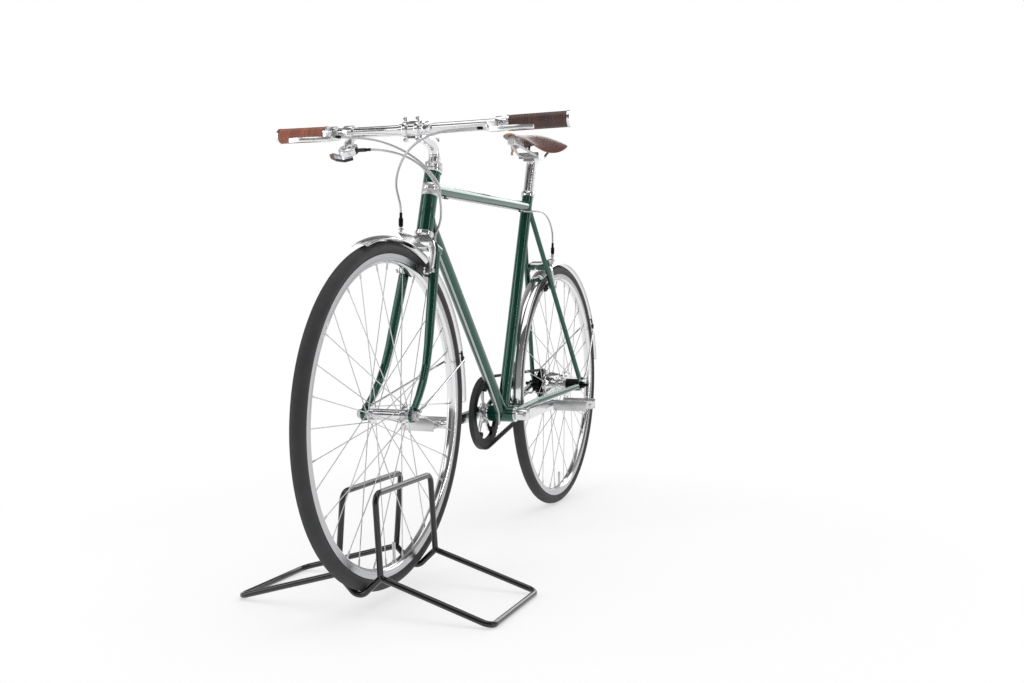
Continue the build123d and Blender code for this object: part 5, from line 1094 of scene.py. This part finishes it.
def adjuster(name, place, way, body):
    """Knurled barrel adjuster between a housing's end and the brake's arm."""
    outline = [(0.0, -0.002), (0.0031, -0.002), (0.0038, 0.0)]
    for ridge in range(7):
        outline += [(radius, along + ridge * 0.0021) for radius, along in (
            (0.0050, 0.001), (0.0050, 0.0022), (0.0045, 0.0025), (0.0045, 0.0029))]
    outline += [(0.0040, 0.0168), (0.0040, 0.0185), (0.0, 0.0185)]
    piece = lathe(f"{name}_adjuster", outline, 28, place, way)
    finish_piece(piece, "anodised black", body, "black_drive")
    nut = [(0.0036, 0.0215), (0.0056, 0.0215), (0.0056, 0.0245), (0.0036, 0.0245)]
    lock_nut = lathe(f"{name}_adjuster_nut", nut, 6, place, way, closed=True)
    finish_piece(lock_nut, "polished alloy", body, "polished_alloy")


class BICYCLE_OT_cables(bpy.types.Operator):
    """Cable housings with their ferrules, adjusters and bare wires"""

    bl_idname = "bicycle.cables"
    bl_label = "Cables"

    def execute(self, context):
        radius = size("housing_radius")
        wire = size("wire_radius")
        piece = tube_mesh("front_brake_housing_smooth", FRONT_BRAKE_ROUTE, radius)
        finish_piece(piece, "housing sheath", "steering", "cable_sheath", "front_brake_cable")
        for name, route, node, still, turned in (
                ("rear_brake_housing_smooth", REAR_BRAKE_ROUTE, "rear_brake_housing",
                 steer_at(-42, 6, 96), steer_at(105, -30, 143)),
                ("gear_housing_smooth", GEAR_ROUTE, "gear_housing",
                 steer_at(-25, 6, 0), steer_at(95, -20, 130))):
            piece = tube_mesh(name, route, radius)
            finish_piece(piece, "housing sheath", None, "cable_sheath", node)
            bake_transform(piece)
        fixed = joined("frame_cables_smooth", [
            tube_mesh("rear_loop", REAR_LOOP_ROUTE, radius), tube_mesh("gear_rear", GEAR_ROUTE_REAR, radius),
            tube_mesh("top_wire", TOP_WIRE, wire, smooth=False)])
        finish_piece(fixed, "housing sheath", "frame", "cable_sheath", "frame_cables")
        cap = ferrule()
        steered = [housing_end(route) for route in (FRONT_BRAKE_ROUTE, REAR_BRAKE_ROUTE, GEAR_ROUTE)]
        steered.append(housing_end(FRONT_BRAKE_ROUTE, last=True))
        copies("steered_ferrules", cap, steered, "anodised black", "steering", "black_drive")
        still = [housing_end(REAR_BRAKE_ROUTE, last=True), housing_end(REAR_LOOP_ROUTE),
                 housing_end(REAR_LOOP_ROUTE, last=True), housing_end(GEAR_ROUTE_REAR, last=True)]
        copies("fixed_ferrules", cap, still, "anodised black", "frame", "black_drive")
        adjuster("front", FRONT_BRAKE_ROUTE[-1], -UP, "steering")
        adjuster("rear", REAR_LOOP_ROUTE[-1], -UP, "frame")
        return {"FINISHED"}


# ---------------------------------------------------------------- grips and saddle
GRIP_FROM = 209         # grips' inner ends from the middle plane
GRIP_R = 16


def leather_stack(name, start, end, finish):
    """Leather rings pressed together on the bar, each a little rounded and of its own tone."""
    run = end - start
    count = round(run.length / size("leather_ring"))
    width = run.length / count
    outer = GRIP_R * MM
    ring = ((0.03, 0.55), (0.16, 0.12), (0.5, 0.02), (0.84, 0.12), (0.97, 0.55))
    outline = [(BAR_R * MM, 0.0)]
    for index in range(count):
        outline += [(outer - drop * MM, (index + share) * width) for share, drop in ring]
    outline.append((BAR_R * MM, run.length))
    piece = lathe(name, outline, 48, start, run, closed=True, sharp=60)
    random = Random(11)
    tones = [random.random() for index in range(count)]
    along = run.normalized()
    shades = []
    for face in piece.data.polygons:
        place = (face.center - start).dot(along) / width
        shades.append(tones[min(count - 1, max(0, int(place)))])
    piece.data.attributes.new("tone", "FLOAT", "FACE")
    piece.data.attributes["tone"].data.foreach_set("value", shades)
    finish_piece(piece, finish, "steering", "grip_leather", name.replace("_stack", ""))


class BICYCLE_OT_grips(bpy.types.Operator):
    """Stacked leather grips"""

    bl_idname = "bicycle.grips"
    bl_label = "Grips"

    def execute(self, context):
        start = on_bar(GRIP_FROM)
        end = BAR_END - BAR_OUT * MM
        leather_stack("grip_left_stack", start, end, "dark leather")
        leather_stack("grip_right_stack", mirrored(start), mirrored(end), "light leather")
        return {"FINISHED"}


JUST_INSIDE = 1e-5      # how far under a face a line through the sheet starts
HIDE_THICK = 0.0085     # more than the saddle's hide is thick


def cut_faces(piece, thick):
    """Faces of a sheet's cut edge: those with more of the sheet behind them than its thickness."""
    surface = surface_of(piece.data)
    cut = []
    for face in piece.data.polygons:
        inward = -face.normal
        hit = surface.ray_cast(face.center + inward * JUST_INSIDE, inward)
        if hit[0] is None or hit[3] > thick:
            cut.append(face.index)
    return cut


def outer_edge(piece, cut):
    """Longest line of points where a sheet's outer side meets its cut edge."""
    work = bmesh.new()
    work.from_mesh(piece.data)
    work.faces.ensure_lookup_table()
    cut = set(cut)
    middle_point = sum((vertex.co for vertex in work.verts), Vector()) / len(work.verts)
    steps = {}
    for edge in work.edges:
        sides = [face for face in edge.link_faces if face.index not in cut]
        if len(edge.link_faces) != 2 or len(sides) != 1:
            continue
        away = sides[0].calc_center_median() - middle_point + Vector((0, 0, 0.03))
        if sides[0].normal.dot(away) > 0:
            first, second = edge.verts
            steps.setdefault(first.index, []).append(second.index)
            steps.setdefault(second.index, []).append(first.index)
    work.verts.ensure_lookup_table()
    longest = []
    seen = set()
    for start in steps:
        if start in seen:
            continue
        line, here = [], start
        while here is not None:
            seen.add(here)
            line.append(work.verts[here].co.copy())
            here = next((after for after in steps[here] if after not in seen), None)
        if len(line) > len(longest):
            longest = line
    work.free()
    return longest


class BICYCLE_OT_saddle(bpy.types.Operator):
    """Saddle's hide with its cut edge, rivets and tension bolt"""

    bl_idname = "bicycle.saddle"
    bl_label = "Saddle"

    def execute(self, context):
        hide = merged_copy("saddle_leather", "saddle_hide", angle=45)
        cut = cut_faces(hide, HIDE_THICK)
        for index in cut:
            hide.data.polygons[index].material_index = 1
        line = outer_edge(hide, cut)
        rounded(hide, size("hide_round"), angle=45, bevel_finish=1)
        finish_piece(hide, "saddle hide", "frame", "saddle_hide", "saddle_leather", second="cut edge")
        inward = UP * 0.0006
        bead = tube_mesh("saddle_edge", [point + inward for point in line + line[:1]], size("edge_bead"),
                         smooth=False)
        finish_piece(bead, "cut edge", "frame", "saddle_hide")
        low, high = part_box("saddle_leather")
        above = high.z + 0.05
        places = []
        for ahead, left, scale in ((0.012, 0.0, 1.0), (0.012, 0.021, 1.0), (0.012, -0.021, 1.0),
                                   (0.013, 0.041, 1.0), (0.013, -0.041, 1.0), (0.269, 0.0, 0.85),
                                   (0.271, 0.0095, 0.85), (0.271, -0.0095, 0.85)):
            point, normal = on_node("saddle_leather", Vector((low.x + ahead, left, above)), (0, 0, -1))
            places.append((point - normal * 0.0004, normal, scale))
        copies("saddle_rivets", dome("saddle_rivet_shape", 0.35), places, "copper", "frame", "saddle_steel",
               size("rivet_radius"))
        nose = from_axle(373.8, 0, 982.1)
        outline = ((0.0, -0.010), (0.0046, -0.010), (0.0046, 0.004), (0.0068, 0.004), (0.0068, 0.011),
                   (0.0040, 0.0125), (0.0, 0.0125))
        bolt = lathe("saddle_tension_bolt", outline, 6, nose - AHEAD * 0.014, -AHEAD)
        finish_piece(bolt, "steel", "frame", "saddle_steel")
        return {"FINISHED"}


# ---------------------------------------------------------------- fenders
FENDER_R = 352
FENDER_HALF = 17.5
FENDER_DROP = 7
FENDERS = (             # name, axle, turns of its tip, its end and its stays' clips in degrees, body
    ("front", FRONT_AXLE, 70, 180, 163.5, "steering"), ("rear", REAR_AXLE, -5.5, 170, 151.5, "frame"))


def fender_section(axle, turn, proud):
    """Points across a fender at one turn, this much outside its crest."""
    sag = FENDER_DROP
    radius = (FENDER_HALF**2 + sag**2) / (2 * sag)
    points = []
    for step in range(13):
        left = FENDER_HALF * (step / 6 - 1) * 0.985
        drop = radius - sqrt(radius**2 - left**2)
        points.append(axle + (wheel_dir(turn) * (FENDER_R - drop + proud) + LEFT * left) * MM)
    return points


class BICYCLE_OT_fender_trim(bpy.types.Operator):
    """Rolled edges, end lips, stay clips and bolts of the fenders"""

    bl_idname = "bicycle.fender_trim"
    bl_label = "Fender trim"

    def execute(self, context):
        bead = size("fender_bead")
        head = dome("clip_bolt_shape", 0.5)
        edge_r = FENDER_R - FENDER_DROP + 0.3
        bolts_r, clips_r = FENDER_R - FENDER_DROP - 3, FENDER_R - FENDER_DROP - 1
        clip_outline = ((0.0, -0.007), (0.0034, -0.007), (0.0042, -0.006), (0.0042, 0.006), (0.0034, 0.007),
                        (0.0, 0.007))
        for name, axle, tip, end, clip, body in FENDERS:
            runs = [tube_mesh("edge", arc_line(axle, edge_r, side * (FENDER_HALF - 0.4), tip, end, 96), bead,
                              smooth=False) for side in (1, -1)]
            runs += [tube_mesh("lip", fender_section(axle, turn, -1.4), bead * 1.1) for turn in (tip, end)]
            finish_piece(joined(f"{name}_fender_beads", runs), "fender metal", body, "fender_metal")
            bolts = [(axle + (wheel_dir(clip) * bolts_r + LEFT * side * 19.5) * MM, LEFT * side, 1.0)
                     for side in (1, -1)]
            copies(f"{name}_clip_bolts", head, bolts, "steel", body, "steel", 0.0034)
            along = wheel_dir(clip + 90)
            clips = [lathe("clip", clip_outline, 16,
                           axle + (wheel_dir(clip) * clips_r + LEFT * side * 15.5) * MM, along)
                     for side in (1, -1)]
            finish_piece(joined(f"{name}_fender_clips", clips), "black plastic", body, "black_drive")
        return {"FINISHED"}


# ---------------------------------------------------------------- frame details
def meeting_line(start, way, radius, other, other_way, other_radius, flip=1):
    """Closed line where a round tube runs into another tube's wall, in metres."""
    way = Vector(way).normalized()
    other_way = Vector(other_way).normalized()
    side, up = across(way)
    points = []
    for step in range(49):
        turn = 2 * pi * step / 48
        foot = Vector(start) + (side * cos(turn) + up * sin(turn)) * radius - Vector(other)
        flat = foot - other_way * foot.dot(other_way)
        slope = way - other_way * way.dot(other_way)
        a, b, c = slope.length_squared, flat.dot(slope), flat.length_squared - other_radius**2
        root = sqrt(max(0.0, b * b - a * c))
        points.append(foot + Vector(other) + way * ((-b + flip * root) / a))
    return points


class BICYCLE_OT_frame_details(bpy.types.Operator):
    """Weld fillets where the tubes meet, and the bare metal band round the head tube"""

    bl_idname = "bicycle.frame_details"
    bl_label = "Frame details"

    def execute(self, context):
        bead = size("weld_bead")
        seat_way = SEAT_TOP - CRANK_AXLE
        top_head = steer_at(0, 0, 98)
        top_seat = CRANK_AXLE + seat_way.normalized() * 0.557
        down_head = steer_at(0, 0, 34)
        lines = (
            meeting_line(top_head, top_seat - top_head, TOP_TUBE_R, HEAD_FOOT, STEER_UP, HEAD_TUBE_R),
            meeting_line(top_seat, top_head - top_seat, TOP_TUBE_R, CRANK_AXLE, seat_way, SEAT_TUBE_R),
            meeting_line(down_head, CRANK_AXLE - down_head, DOWN_TUBE_R, HEAD_FOOT, STEER_UP, HEAD_TUBE_R),
            meeting_line(CRANK_AXLE, down_head - CRANK_AXLE, DOWN_TUBE_R, CRANK_AXLE, LEFT, SHELL_R),
            meeting_line(CRANK_AXLE, seat_way, SEAT_TUBE_R, CRANK_AXLE, LEFT, SHELL_R))
        runs = [tube_mesh("weld", line, bead, smooth=False) for line in lines]
        finish_piece(joined("weld_fillets", runs), "frame enamel", "frame", "frame_paint")
        for name, low, high, finish in (("head_band_lower", 80, 92, "satin band"),
                                        ("head_band_upper", 92.4, 106, "cast alloy")):
            foot = HEAD_FOOT + STEER_UP * low * MM
            tall = (high - low) * MM
            outline = [(HEAD_TUBE_R + proud, along) for proud, along in (
                (-0.0002, 0.0), (0.0003, 0.0), (0.0005, 0.0004), (0.0005, tall - 0.0004), (0.0003, tall),
                (-0.0002, tall))]
            piece = lathe(name, outline, 64, foot, STEER_UP, closed=True)
            finish_piece(piece, finish, "frame", "polished_alloy")
        return {"FINISHED"}


class BICYCLE_OT_softened_castings(bpy.types.Operator):
    """Rounded edges on the cast, forged and turned parts"""

    bl_idname = "bicycle.softened_castings"
    bl_label = "Rounded castings"

    def execute(self, context):
        rounding = size("edge_round")
        for node, finish, body, slot, share in (
                ("front_brake", "cast alloy", "steering", "polished_alloy", 1.6),
                ("rear_brake", "cast alloy", "frame", "polished_alloy", 1.6),
                ("brake_lever_left", "cast alloy", "steering", "polished_alloy", 1.8),
                ("brake_lever_right", "cast alloy", "steering", "polished_alloy", 1.8),
                ("crank_left", "cast alloy", "cranks", "polished_alloy", 2.4),
                ("crank_right", "cast alloy", "cranks", "polished_alloy", 1.2),
                ("stem_straps", "polished alloy", "steering", "polished_alloy", 1.2),
                ("seat_collar", "chrome", "frame", "chrome", 0.8),
                ("pedal_left", "pedal alloy", "pedal_left", "pedal_metal", 0.8),
                ("pedal_right", "pedal alloy", "pedal_right", "pedal_metal", 0.8),
                ("front_brake_pads", "pad rubber", "steering", "pad_rubber", 1.8),
                ("rear_brake_pads", "pad rubber", "frame", "pad_rubber", 1.8)):
            piece = rounded(merged_copy(node, f"{node}_rounded"), rounding * share)
            finish_piece(piece, finish, body, slot, node)
        return {"FINISHED"}


class BICYCLE_OT_shifter(bpy.types.Operator):
    """Gear shifter: silver clamp and pod, dark thumb levers and barrel"""

    bl_idname = "bicycle.shifter"
    bl_label = "Shifter"

    def execute(self, context):
        pod_at = steer_at(101.6, -150, 146.5)
        pod_up = Vector((0.55, 0, 0.83)).normalized()
        piece = merged_copy("shifter", "shifter_body")
        for face in piece.data.polygons:
            away = face.center - pod_at
            if away.dot(pod_up) < -0.0076 or away.y > 0.0195:
                face.material_index = 1
        rounded(piece, size("edge_round") * 1.3)
        finish_piece(piece, "cast alloy", "steering", "shifter_body", "shifter", second="black plastic")
        outline = ((0.0, 0.0072), (0.0, 0.0092), (0.007, 0.0091), (0.014, 0.0085), (0.0165, 0.0077),
                   (0.0165, 0.0072))
        cover = lathe("shifter_cover", outline, 40, pod_at, pod_up)
        finish_piece(cover, "polished alloy", "steering", "polished_alloy")
        return {"FINISHED"}


class BICYCLE_OT_bolts(bpy.types.Operator):
    """Socket bolts, nuts and caps"""

    bl_idname = "bicycle.bolts"
    bl_label = "Bolts and nuts"

    def execute(self, context):
        self.bolt = socket_bolt()
        self.nut = hex_nut("hex_nut_shape")
        self.cap = dome("cap_shape", 0.4)
        self.steering_bolts()
        self.brake_hardware("front", "steering", steer_at(0, 0, -28), STEER_AHEAD, STEER_UP, 22.5)
        seat_stay = (from_axle(267.8, 0, 818.9) - from_axle(0, 0, TYRE_R)).normalized()
        behind = Vector((-seat_stay.z, 0, seat_stay.x))
        self.brake_hardware("rear", "frame", from_axle(182.8, 0, 667.3), behind, seat_stay, 16)
        self.drive_bolts()
        self.frame_bolts()
        return {"FINISHED"}

    def steering_bolts(self):
        """Bolts of the stem's straps, the quill, the levers and the shifter's clamp."""
        unit = size("bolt_radius")
        places = [(BAR_MID + Vector((0.0088, side * 0.014, rise)), Vector((1, 0, 0)), 1.0)
                  for side in (1, -1) for rise in (0.021, -0.021)]
        places.append((steer_at(0, 0, 209.2), STEER_UP, 1.5))
        for left, side in ((LEVER_AT, 1), (LEVER_AT, -1), (SHIFTER_AT, -1)):
            at = on_bar(left)
            at.y *= side
            places.append((at - Vector((0.0147, 0, 0.001)), Vector((-1, 0, 0)), 0.9))
        copies("cockpit_bolts", self.bolt, places, "steel", "steering", "steel", unit)
        pivots = []
        for side in (1, -1):
            at = on_bar(LEVER_AT)
            pivots.append((Vector((at.x + 0.031, side * (at.y - 0.009), at.z - 0.0001)),
                           Vector((0, 0, 1)), 1.0))
        copies("lever_pivots", self.cap, pivots, "steel", "steering", "steel", unit)

    def brake_hardware(self, name, body, bolt_at, out, up, stand_off):
        """Centre nut, arm pivot, cable clamp and pad bolts of one brake."""
        unit = size("bolt_radius")
        front = bolt_at + out * stand_off * MM
        nuts = [(front + out * 0.0005, out, 1.45), (front + (LEFT * 31 + up * -8) * MM, out, 1.15)]
        copies(f"{name}_brake_nuts", self.nut, nuts, "steel", body, "steel", unit)
        bolts = [(front + (LEFT * -31 + up * -8) * MM, out, 1.1)]
        pads = middle(f"{name}_brake_pads")
        bolts += [(Vector((pads.x, side * 0.0396, pads.z)), LEFT * side, 1.2) for side in (1, -1)]
        copies(f"{name}_brake_bolts", self.bolt, bolts, "steel", body, "steel", unit)
        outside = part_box(f"{name}_brake_pads")[1].y - 0.0003
        shoes = [(Vector((pads.x, side * outside, pads.z)), LEFT * side, 1.0) for side in (1, -1)]
        copies(f"{name}_pad_washers", self.cap, shoes, "polished alloy", body, "polished_alloy", 0.0078)

    def drive_bolts(self):
        """Bolts of the chainring and the cranks."""
        unit = size("bolt_radius")
        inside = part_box("chainring")[0].y - 0.004
        bolt_circle = 0.061
        spread = (CRANK_AXLE - REAR_AXLE).normalized()
        rise = Vector((-spread.z, 0, spread.x))
        places = []
        for arm in range(5):
            turn = radians(18 + 72 * arm)
            at = CRANK_AXLE + (spread * cos(turn) + rise * sin(turn)) * bolt_circle
            at.y = inside
            places.append((at, -LEFT, 1.15))
        copies("chainring_bolts", self.bolt, places, "steel", "cranks", "steel", unit)
        places = [(Vector((CRANK_AXLE.x, side * 0.0602, CRANK_AXLE.z)), LEFT * side, 2.3)
                  for side in (1, -1)]
        copies("crank_bolts", self.bolt, places, "anodised black", "cranks", "black_drive", unit)

    def frame_bolts(self):
        """Bolts of the seat collar, the saddle's clamp, the fenders' stays and the fork's eyelets."""
        unit = size("bolt_radius")
        seat_way = (SEAT_TOP - CRANK_AXLE).normalized()
        behind = Vector((-seat_way.z, 0, seat_way.x))
        collar = CRANK_AXLE + seat_way * 0.589 + behind * 0.0185
        places = [(collar + LEFT * side * 0.0066, LEFT * side, 1.0) for side in (1, -1)]
        clamp = from_axle(229.8, 0, 961.9)
        places += [(clamp + (AHEAD * ahead - UP * 15) * MM, -UP, 1.1) for ahead in (13, -13)]
        rear_eye = REAR_AXLE + wheel_dir(128) * EYELET_REACH
        places += [(Vector((rear_eye.x, side * 0.0765, rear_eye.z)), LEFT * side, 1.0)
                   for side in (1, -1)]
        copies("frame_bolts", self.bolt, places, "steel", "frame", "steel", unit)
        front_eye = FRONT_AXLE + wheel_dir(160) * EYELET_REACH
        places = [(Vector((front_eye.x, side * 0.0590, front_eye.z)), LEFT * side, 1.0)
                  for side in (1, -1)]
        copies("fork_bolts", self.bolt, places, "steel", "steering", "steel", unit)


class BICYCLE_OT_pedal_teeth(bpy.types.Operator):
    """Small teeth along the pedals' cage plates"""

    bl_idname = "bicycle.pedal_teeth"
    bl_label = "Pedal teeth"

    def execute(self, context):
        points, faces = lathe_data(((1.0, 0.0), (0.55, 1.0), (0.0, 1.1)), 8, Vector(), Vector((0, 0, 1)))
        tooth = shape_object("pedal_tooth_shape", points, faces)
        for node in ("pedal_left", "pedal_right"):
            low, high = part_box(node)
            places = []
            for x in (low.x + 0.0015, high.x - 0.0015):
                for step in range(9):
                    y = low.y + 0.010 + (high.y - low.y - 0.020) * step / 8
                    places += [(Vector((x, y, high.z - 0.0021)), Vector((0, 0, 1)), 1.0),
                               (Vector((x, y, low.z + 0.0021)), Vector((0, 0, -1)), 1.0)]
            copies(f"{node}_teeth", tooth, places, "pedal alloy", node, "pedal_metal", 0.0018)
        return {"FINISHED"}


# ---------------------------------------------------------------- studio
class BICYCLE_OT_studio(bpy.types.Operator):
    """Pale floor, soft light and the camera"""

    bl_idname = "bicycle.studio"
    bl_label = "Studio"

    def execute(self, context):
        studio = context.scene.bicycle_studio
        self.add_camera(context, studio)
        self.add_floor(studio)
        self.light_room(context, studio)
        for name, place, aim, wide, tall, power in (
                ("key_lamp", (0.4, 0.3, 3.4), (0.0, 0.0, 0.4), 3.2, 3.2, studio.key_power),
                ("left_strip", (0.6, 3.0, 1.3), (0.1, 0.0, 0.6), 0.14, 2.6, studio.strip_power),
                ("right_soft", (2.0, -2.3, 1.3), (0.1, 0.0, 0.6), 0.9, 2.6, studio.soft_power),
                ("front_soft", (2.4, -0.9, 2.0), (0.5, 0.0, 0.7), 1.1, 0.9, studio.front_power),
                ("back_panel", (-3.2, 0.4, 1.95), (0.0, 0.0, 0.75), 3.0, 1.2, studio.panel_power)):
            lamp = bpy.data.lights.new(name, "AREA")
            lamp.shape = "RECTANGLE"
            lamp.size = wide
            lamp.size_y = tall
            lamp.energy = power
            holder = in_scene(name, lamp)
            holder.location = place
            holder.rotation_euler = (Vector(aim) - Vector(place)).to_track_quat("-Z", "Y").to_euler()
        context.scene.view_settings.view_transform = "Standard"
        return {"FINISHED"}

    @staticmethod
    def add_camera(context, studio):
        """Camera at the viewing angle, with no shift."""
        lens = bpy.data.cameras.new("camera")
        lens.lens = studio.lens
        lens.sensor_width = 36.0
        holder = in_scene("camera", lens)
        holder.location = studio.camera_at
        holder.rotation_euler = Vector(studio.camera_towards).to_track_quat("-Z", "Y").to_euler()
        context.scene.camera = holder

    @staticmethod
    def add_floor(studio):
        """Round floor that keeps the shadow and fades to white away from the bicycle."""
        points, faces = lathe_data(((0.0, 0.0), (studio.floor_radius, 0.0)), 96, Vector((0, 0, -0.0005)),
                                   Vector((0, 0, 1)))
        floor = mesh_object("floor", points, faces)
        if floor.data.polygons[0].normal.z < 0:
            floor.data.flip_normals()
        material = bpy.data.materials.new("studio floor")
        material.use_nodes = True
        tree = material.node_tree
        tree.nodes.clear()
        place = add_node(tree, "ShaderNodeTexCoord").outputs["Object"]
        reach = add_node(tree, "ShaderNodeVectorMath", (("operation", "LENGTH"),), links=((0, place),))
        fade = add_node(tree, "ShaderNodeMapRange", (("interpolation_type", "SMOOTHSTEP"),),
                        (("From Min", 0.7), ("From Max", 1.4), ("To Min", 0.55)),
                        (("Value", reach.outputs["Value"]),))
        matt = add_node(tree, "ShaderNodeBsdfDiffuse", values=(("Color", (0.97, 0.97, 0.97, 1.0)),))
        white = add_node(tree, "ShaderNodeEmission", values=(("Color", (1, 1, 1, 1)), ("Strength", 1.0)))
        path = add_node(tree, "ShaderNodeLightPath")
        seen = math_node(tree, "MAXIMUM", path.outputs["Is Camera Ray"],
                         math_node(tree, "MAXIMUM", path.outputs["Is Glossy Ray"],
                                   path.outputs["Is Transmission Ray"]))
        shown = math_node(tree, "MULTIPLY", seen, fade.outputs[0])
        mix = add_node(tree, "ShaderNodeMixShader",
                       links=((0, shown), (1, matt.outputs[0]), (2, white.outputs[0])))
        add_node(tree, "ShaderNodeOutputMaterial", links=(("Surface", mix.outputs[0]),))
        floor.data.materials.append(material)

    @staticmethod
    def light_room(context, studio):
        """Even light all round; glossy and transmission rays see a room with a darker ceiling."""
        world = bpy.data.worlds.new("room")
        context.scene.world = world
        world.use_nodes = True
        tree = world.node_tree
        tree.nodes.clear()
        path = add_node(tree, "ShaderNodeLightPath")
        towards = add_node(tree, "ShaderNodeTexCoord").outputs["Generated"]
        way = add_node(tree, "ShaderNodeSeparateXYZ", links=((0, towards),))
        ceiling = add_node(tree, "ShaderNodeMapRange", (("interpolation_type", "SMOOTHSTEP"),),
                           (("From Min", 0.1), ("From Max", 0.8), ("To Min", 0.8), ("To Max", 0.24)),
                           (("Value", way.outputs["Z"]),))
        front = add_node(tree, "ShaderNodeMapRange", (("interpolation_type", "SMOOTHSTEP"),),
                         (("From Min", -0.2), ("From Max", 0.75), ("To Min", 1.0), ("To Max", 0.36)),
                         (("Value", way.outputs["X"]),))
        azimuth = math_node(tree, "ARCTAN2", way.outputs["Y"], way.outputs["X"])
        threefold = math_node(tree, "MULTIPLY", azimuth, 3.0)
        swing = math_node(tree, "COSINE", math_node(tree, "SUBTRACT", threefold, radians(603)))
        flags = add_node(tree, "ShaderNodeMapRange", (("interpolation_type", "SMOOTHSTEP"),),
                         (("From Min", -0.5), ("From Max", 0.9), ("To Min", 1.0), ("To Max", 0.42)),
                         (("Value", swing),))
        mirrored_room = math_node(tree, "MULTIPLY", math_node(tree, "MULTIPLY", ceiling.outputs[0],
                                                              front.outputs[0]), flags.outputs[0])
        shiny = math_node(tree, "MAXIMUM", path.outputs["Is Glossy Ray"], path.outputs["Is Transmission Ray"])
        level = add_node(tree, "ShaderNodeMix", (("data_type", "FLOAT"),), ((2, studio.room_light),),
                         ((0, shiny), (3, mirrored_room)))
        shown = add_node(tree, "ShaderNodeMix", (("data_type", "FLOAT"),), ((3, 1.0),),
                         ((0, path.outputs["Is Camera Ray"]), (2, level.outputs[0])))
        light = add_node(tree, "ShaderNodeBackground", values=(("Color", (1, 1, 1, 1)),),
                         links=(("Strength", shown.outputs[0]),))
        add_node(tree, "ShaderNodeOutputWorld", links=(("Surface", light.outputs[0]),))


OPERATORS = (
    BICYCLE_OT_finishes, BICYCLE_OT_tyres, BICYCLE_OT_rims, BICYCLE_OT_spokes, BICYCLE_OT_hub_barrel,
    BICYCLE_OT_valves, BICYCLE_OT_cables, BICYCLE_OT_grips, BICYCLE_OT_saddle, BICYCLE_OT_fender_trim,
    BICYCLE_OT_frame_details, BICYCLE_OT_softened_castings, BICYCLE_OT_shifter, BICYCLE_OT_bolts,
    BICYCLE_OT_pedal_teeth, BICYCLE_OT_studio)


class BICYCLE_PT_panel(bpy.types.Panel):
    """Steps that dress the bicycle, in order"""

    bl_label = "Bicycle"
    bl_idname = "BICYCLE_PT_panel"
    bl_space_type = "VIEW_3D"
    bl_region_type = "UI"
    bl_category = "Bicycle"

    def draw(self, context):
        for operator in OPERATORS:
            self.layout.operator(operator.bl_idname)
        scene = context.scene
        for group in (scene.bicycle_colours, scene.bicycle_sizes, scene.bicycle_studio):
            box = self.layout.box()
            for key in group.bl_rna.properties.keys():
                if key not in ("rna_type", "name"):
                    box.prop(group, key)


CLASSES = (BicycleColours, BicycleSizes, BicycleStudio, *OPERATORS, BICYCLE_PT_panel)


def register():
    """Register the classes and the settings on the scene."""
    for item in CLASSES:
        bpy.utils.register_class(item)
    bpy.types.Scene.bicycle_colours = bpy.props.PointerProperty(type=BicycleColours)
    bpy.types.Scene.bicycle_sizes = bpy.props.PointerProperty(type=BicycleSizes)
    bpy.types.Scene.bicycle_studio = bpy.props.PointerProperty(type=BicycleStudio)


def unregister():
    """Remove the settings and the classes."""
    del bpy.types.Scene.bicycle_studio
    del bpy.types.Scene.bicycle_sizes
    del bpy.types.Scene.bicycle_colours
    for item in reversed(CLASSES):
        bpy.utils.unregister_class(item)


def main():
    """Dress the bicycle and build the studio."""
    register()
    for operator in OPERATORS:
        area, action = operator.bl_idname.split(".")
        getattr(getattr(bpy.ops, area), action)()


if __name__ == "__main__":
    main()
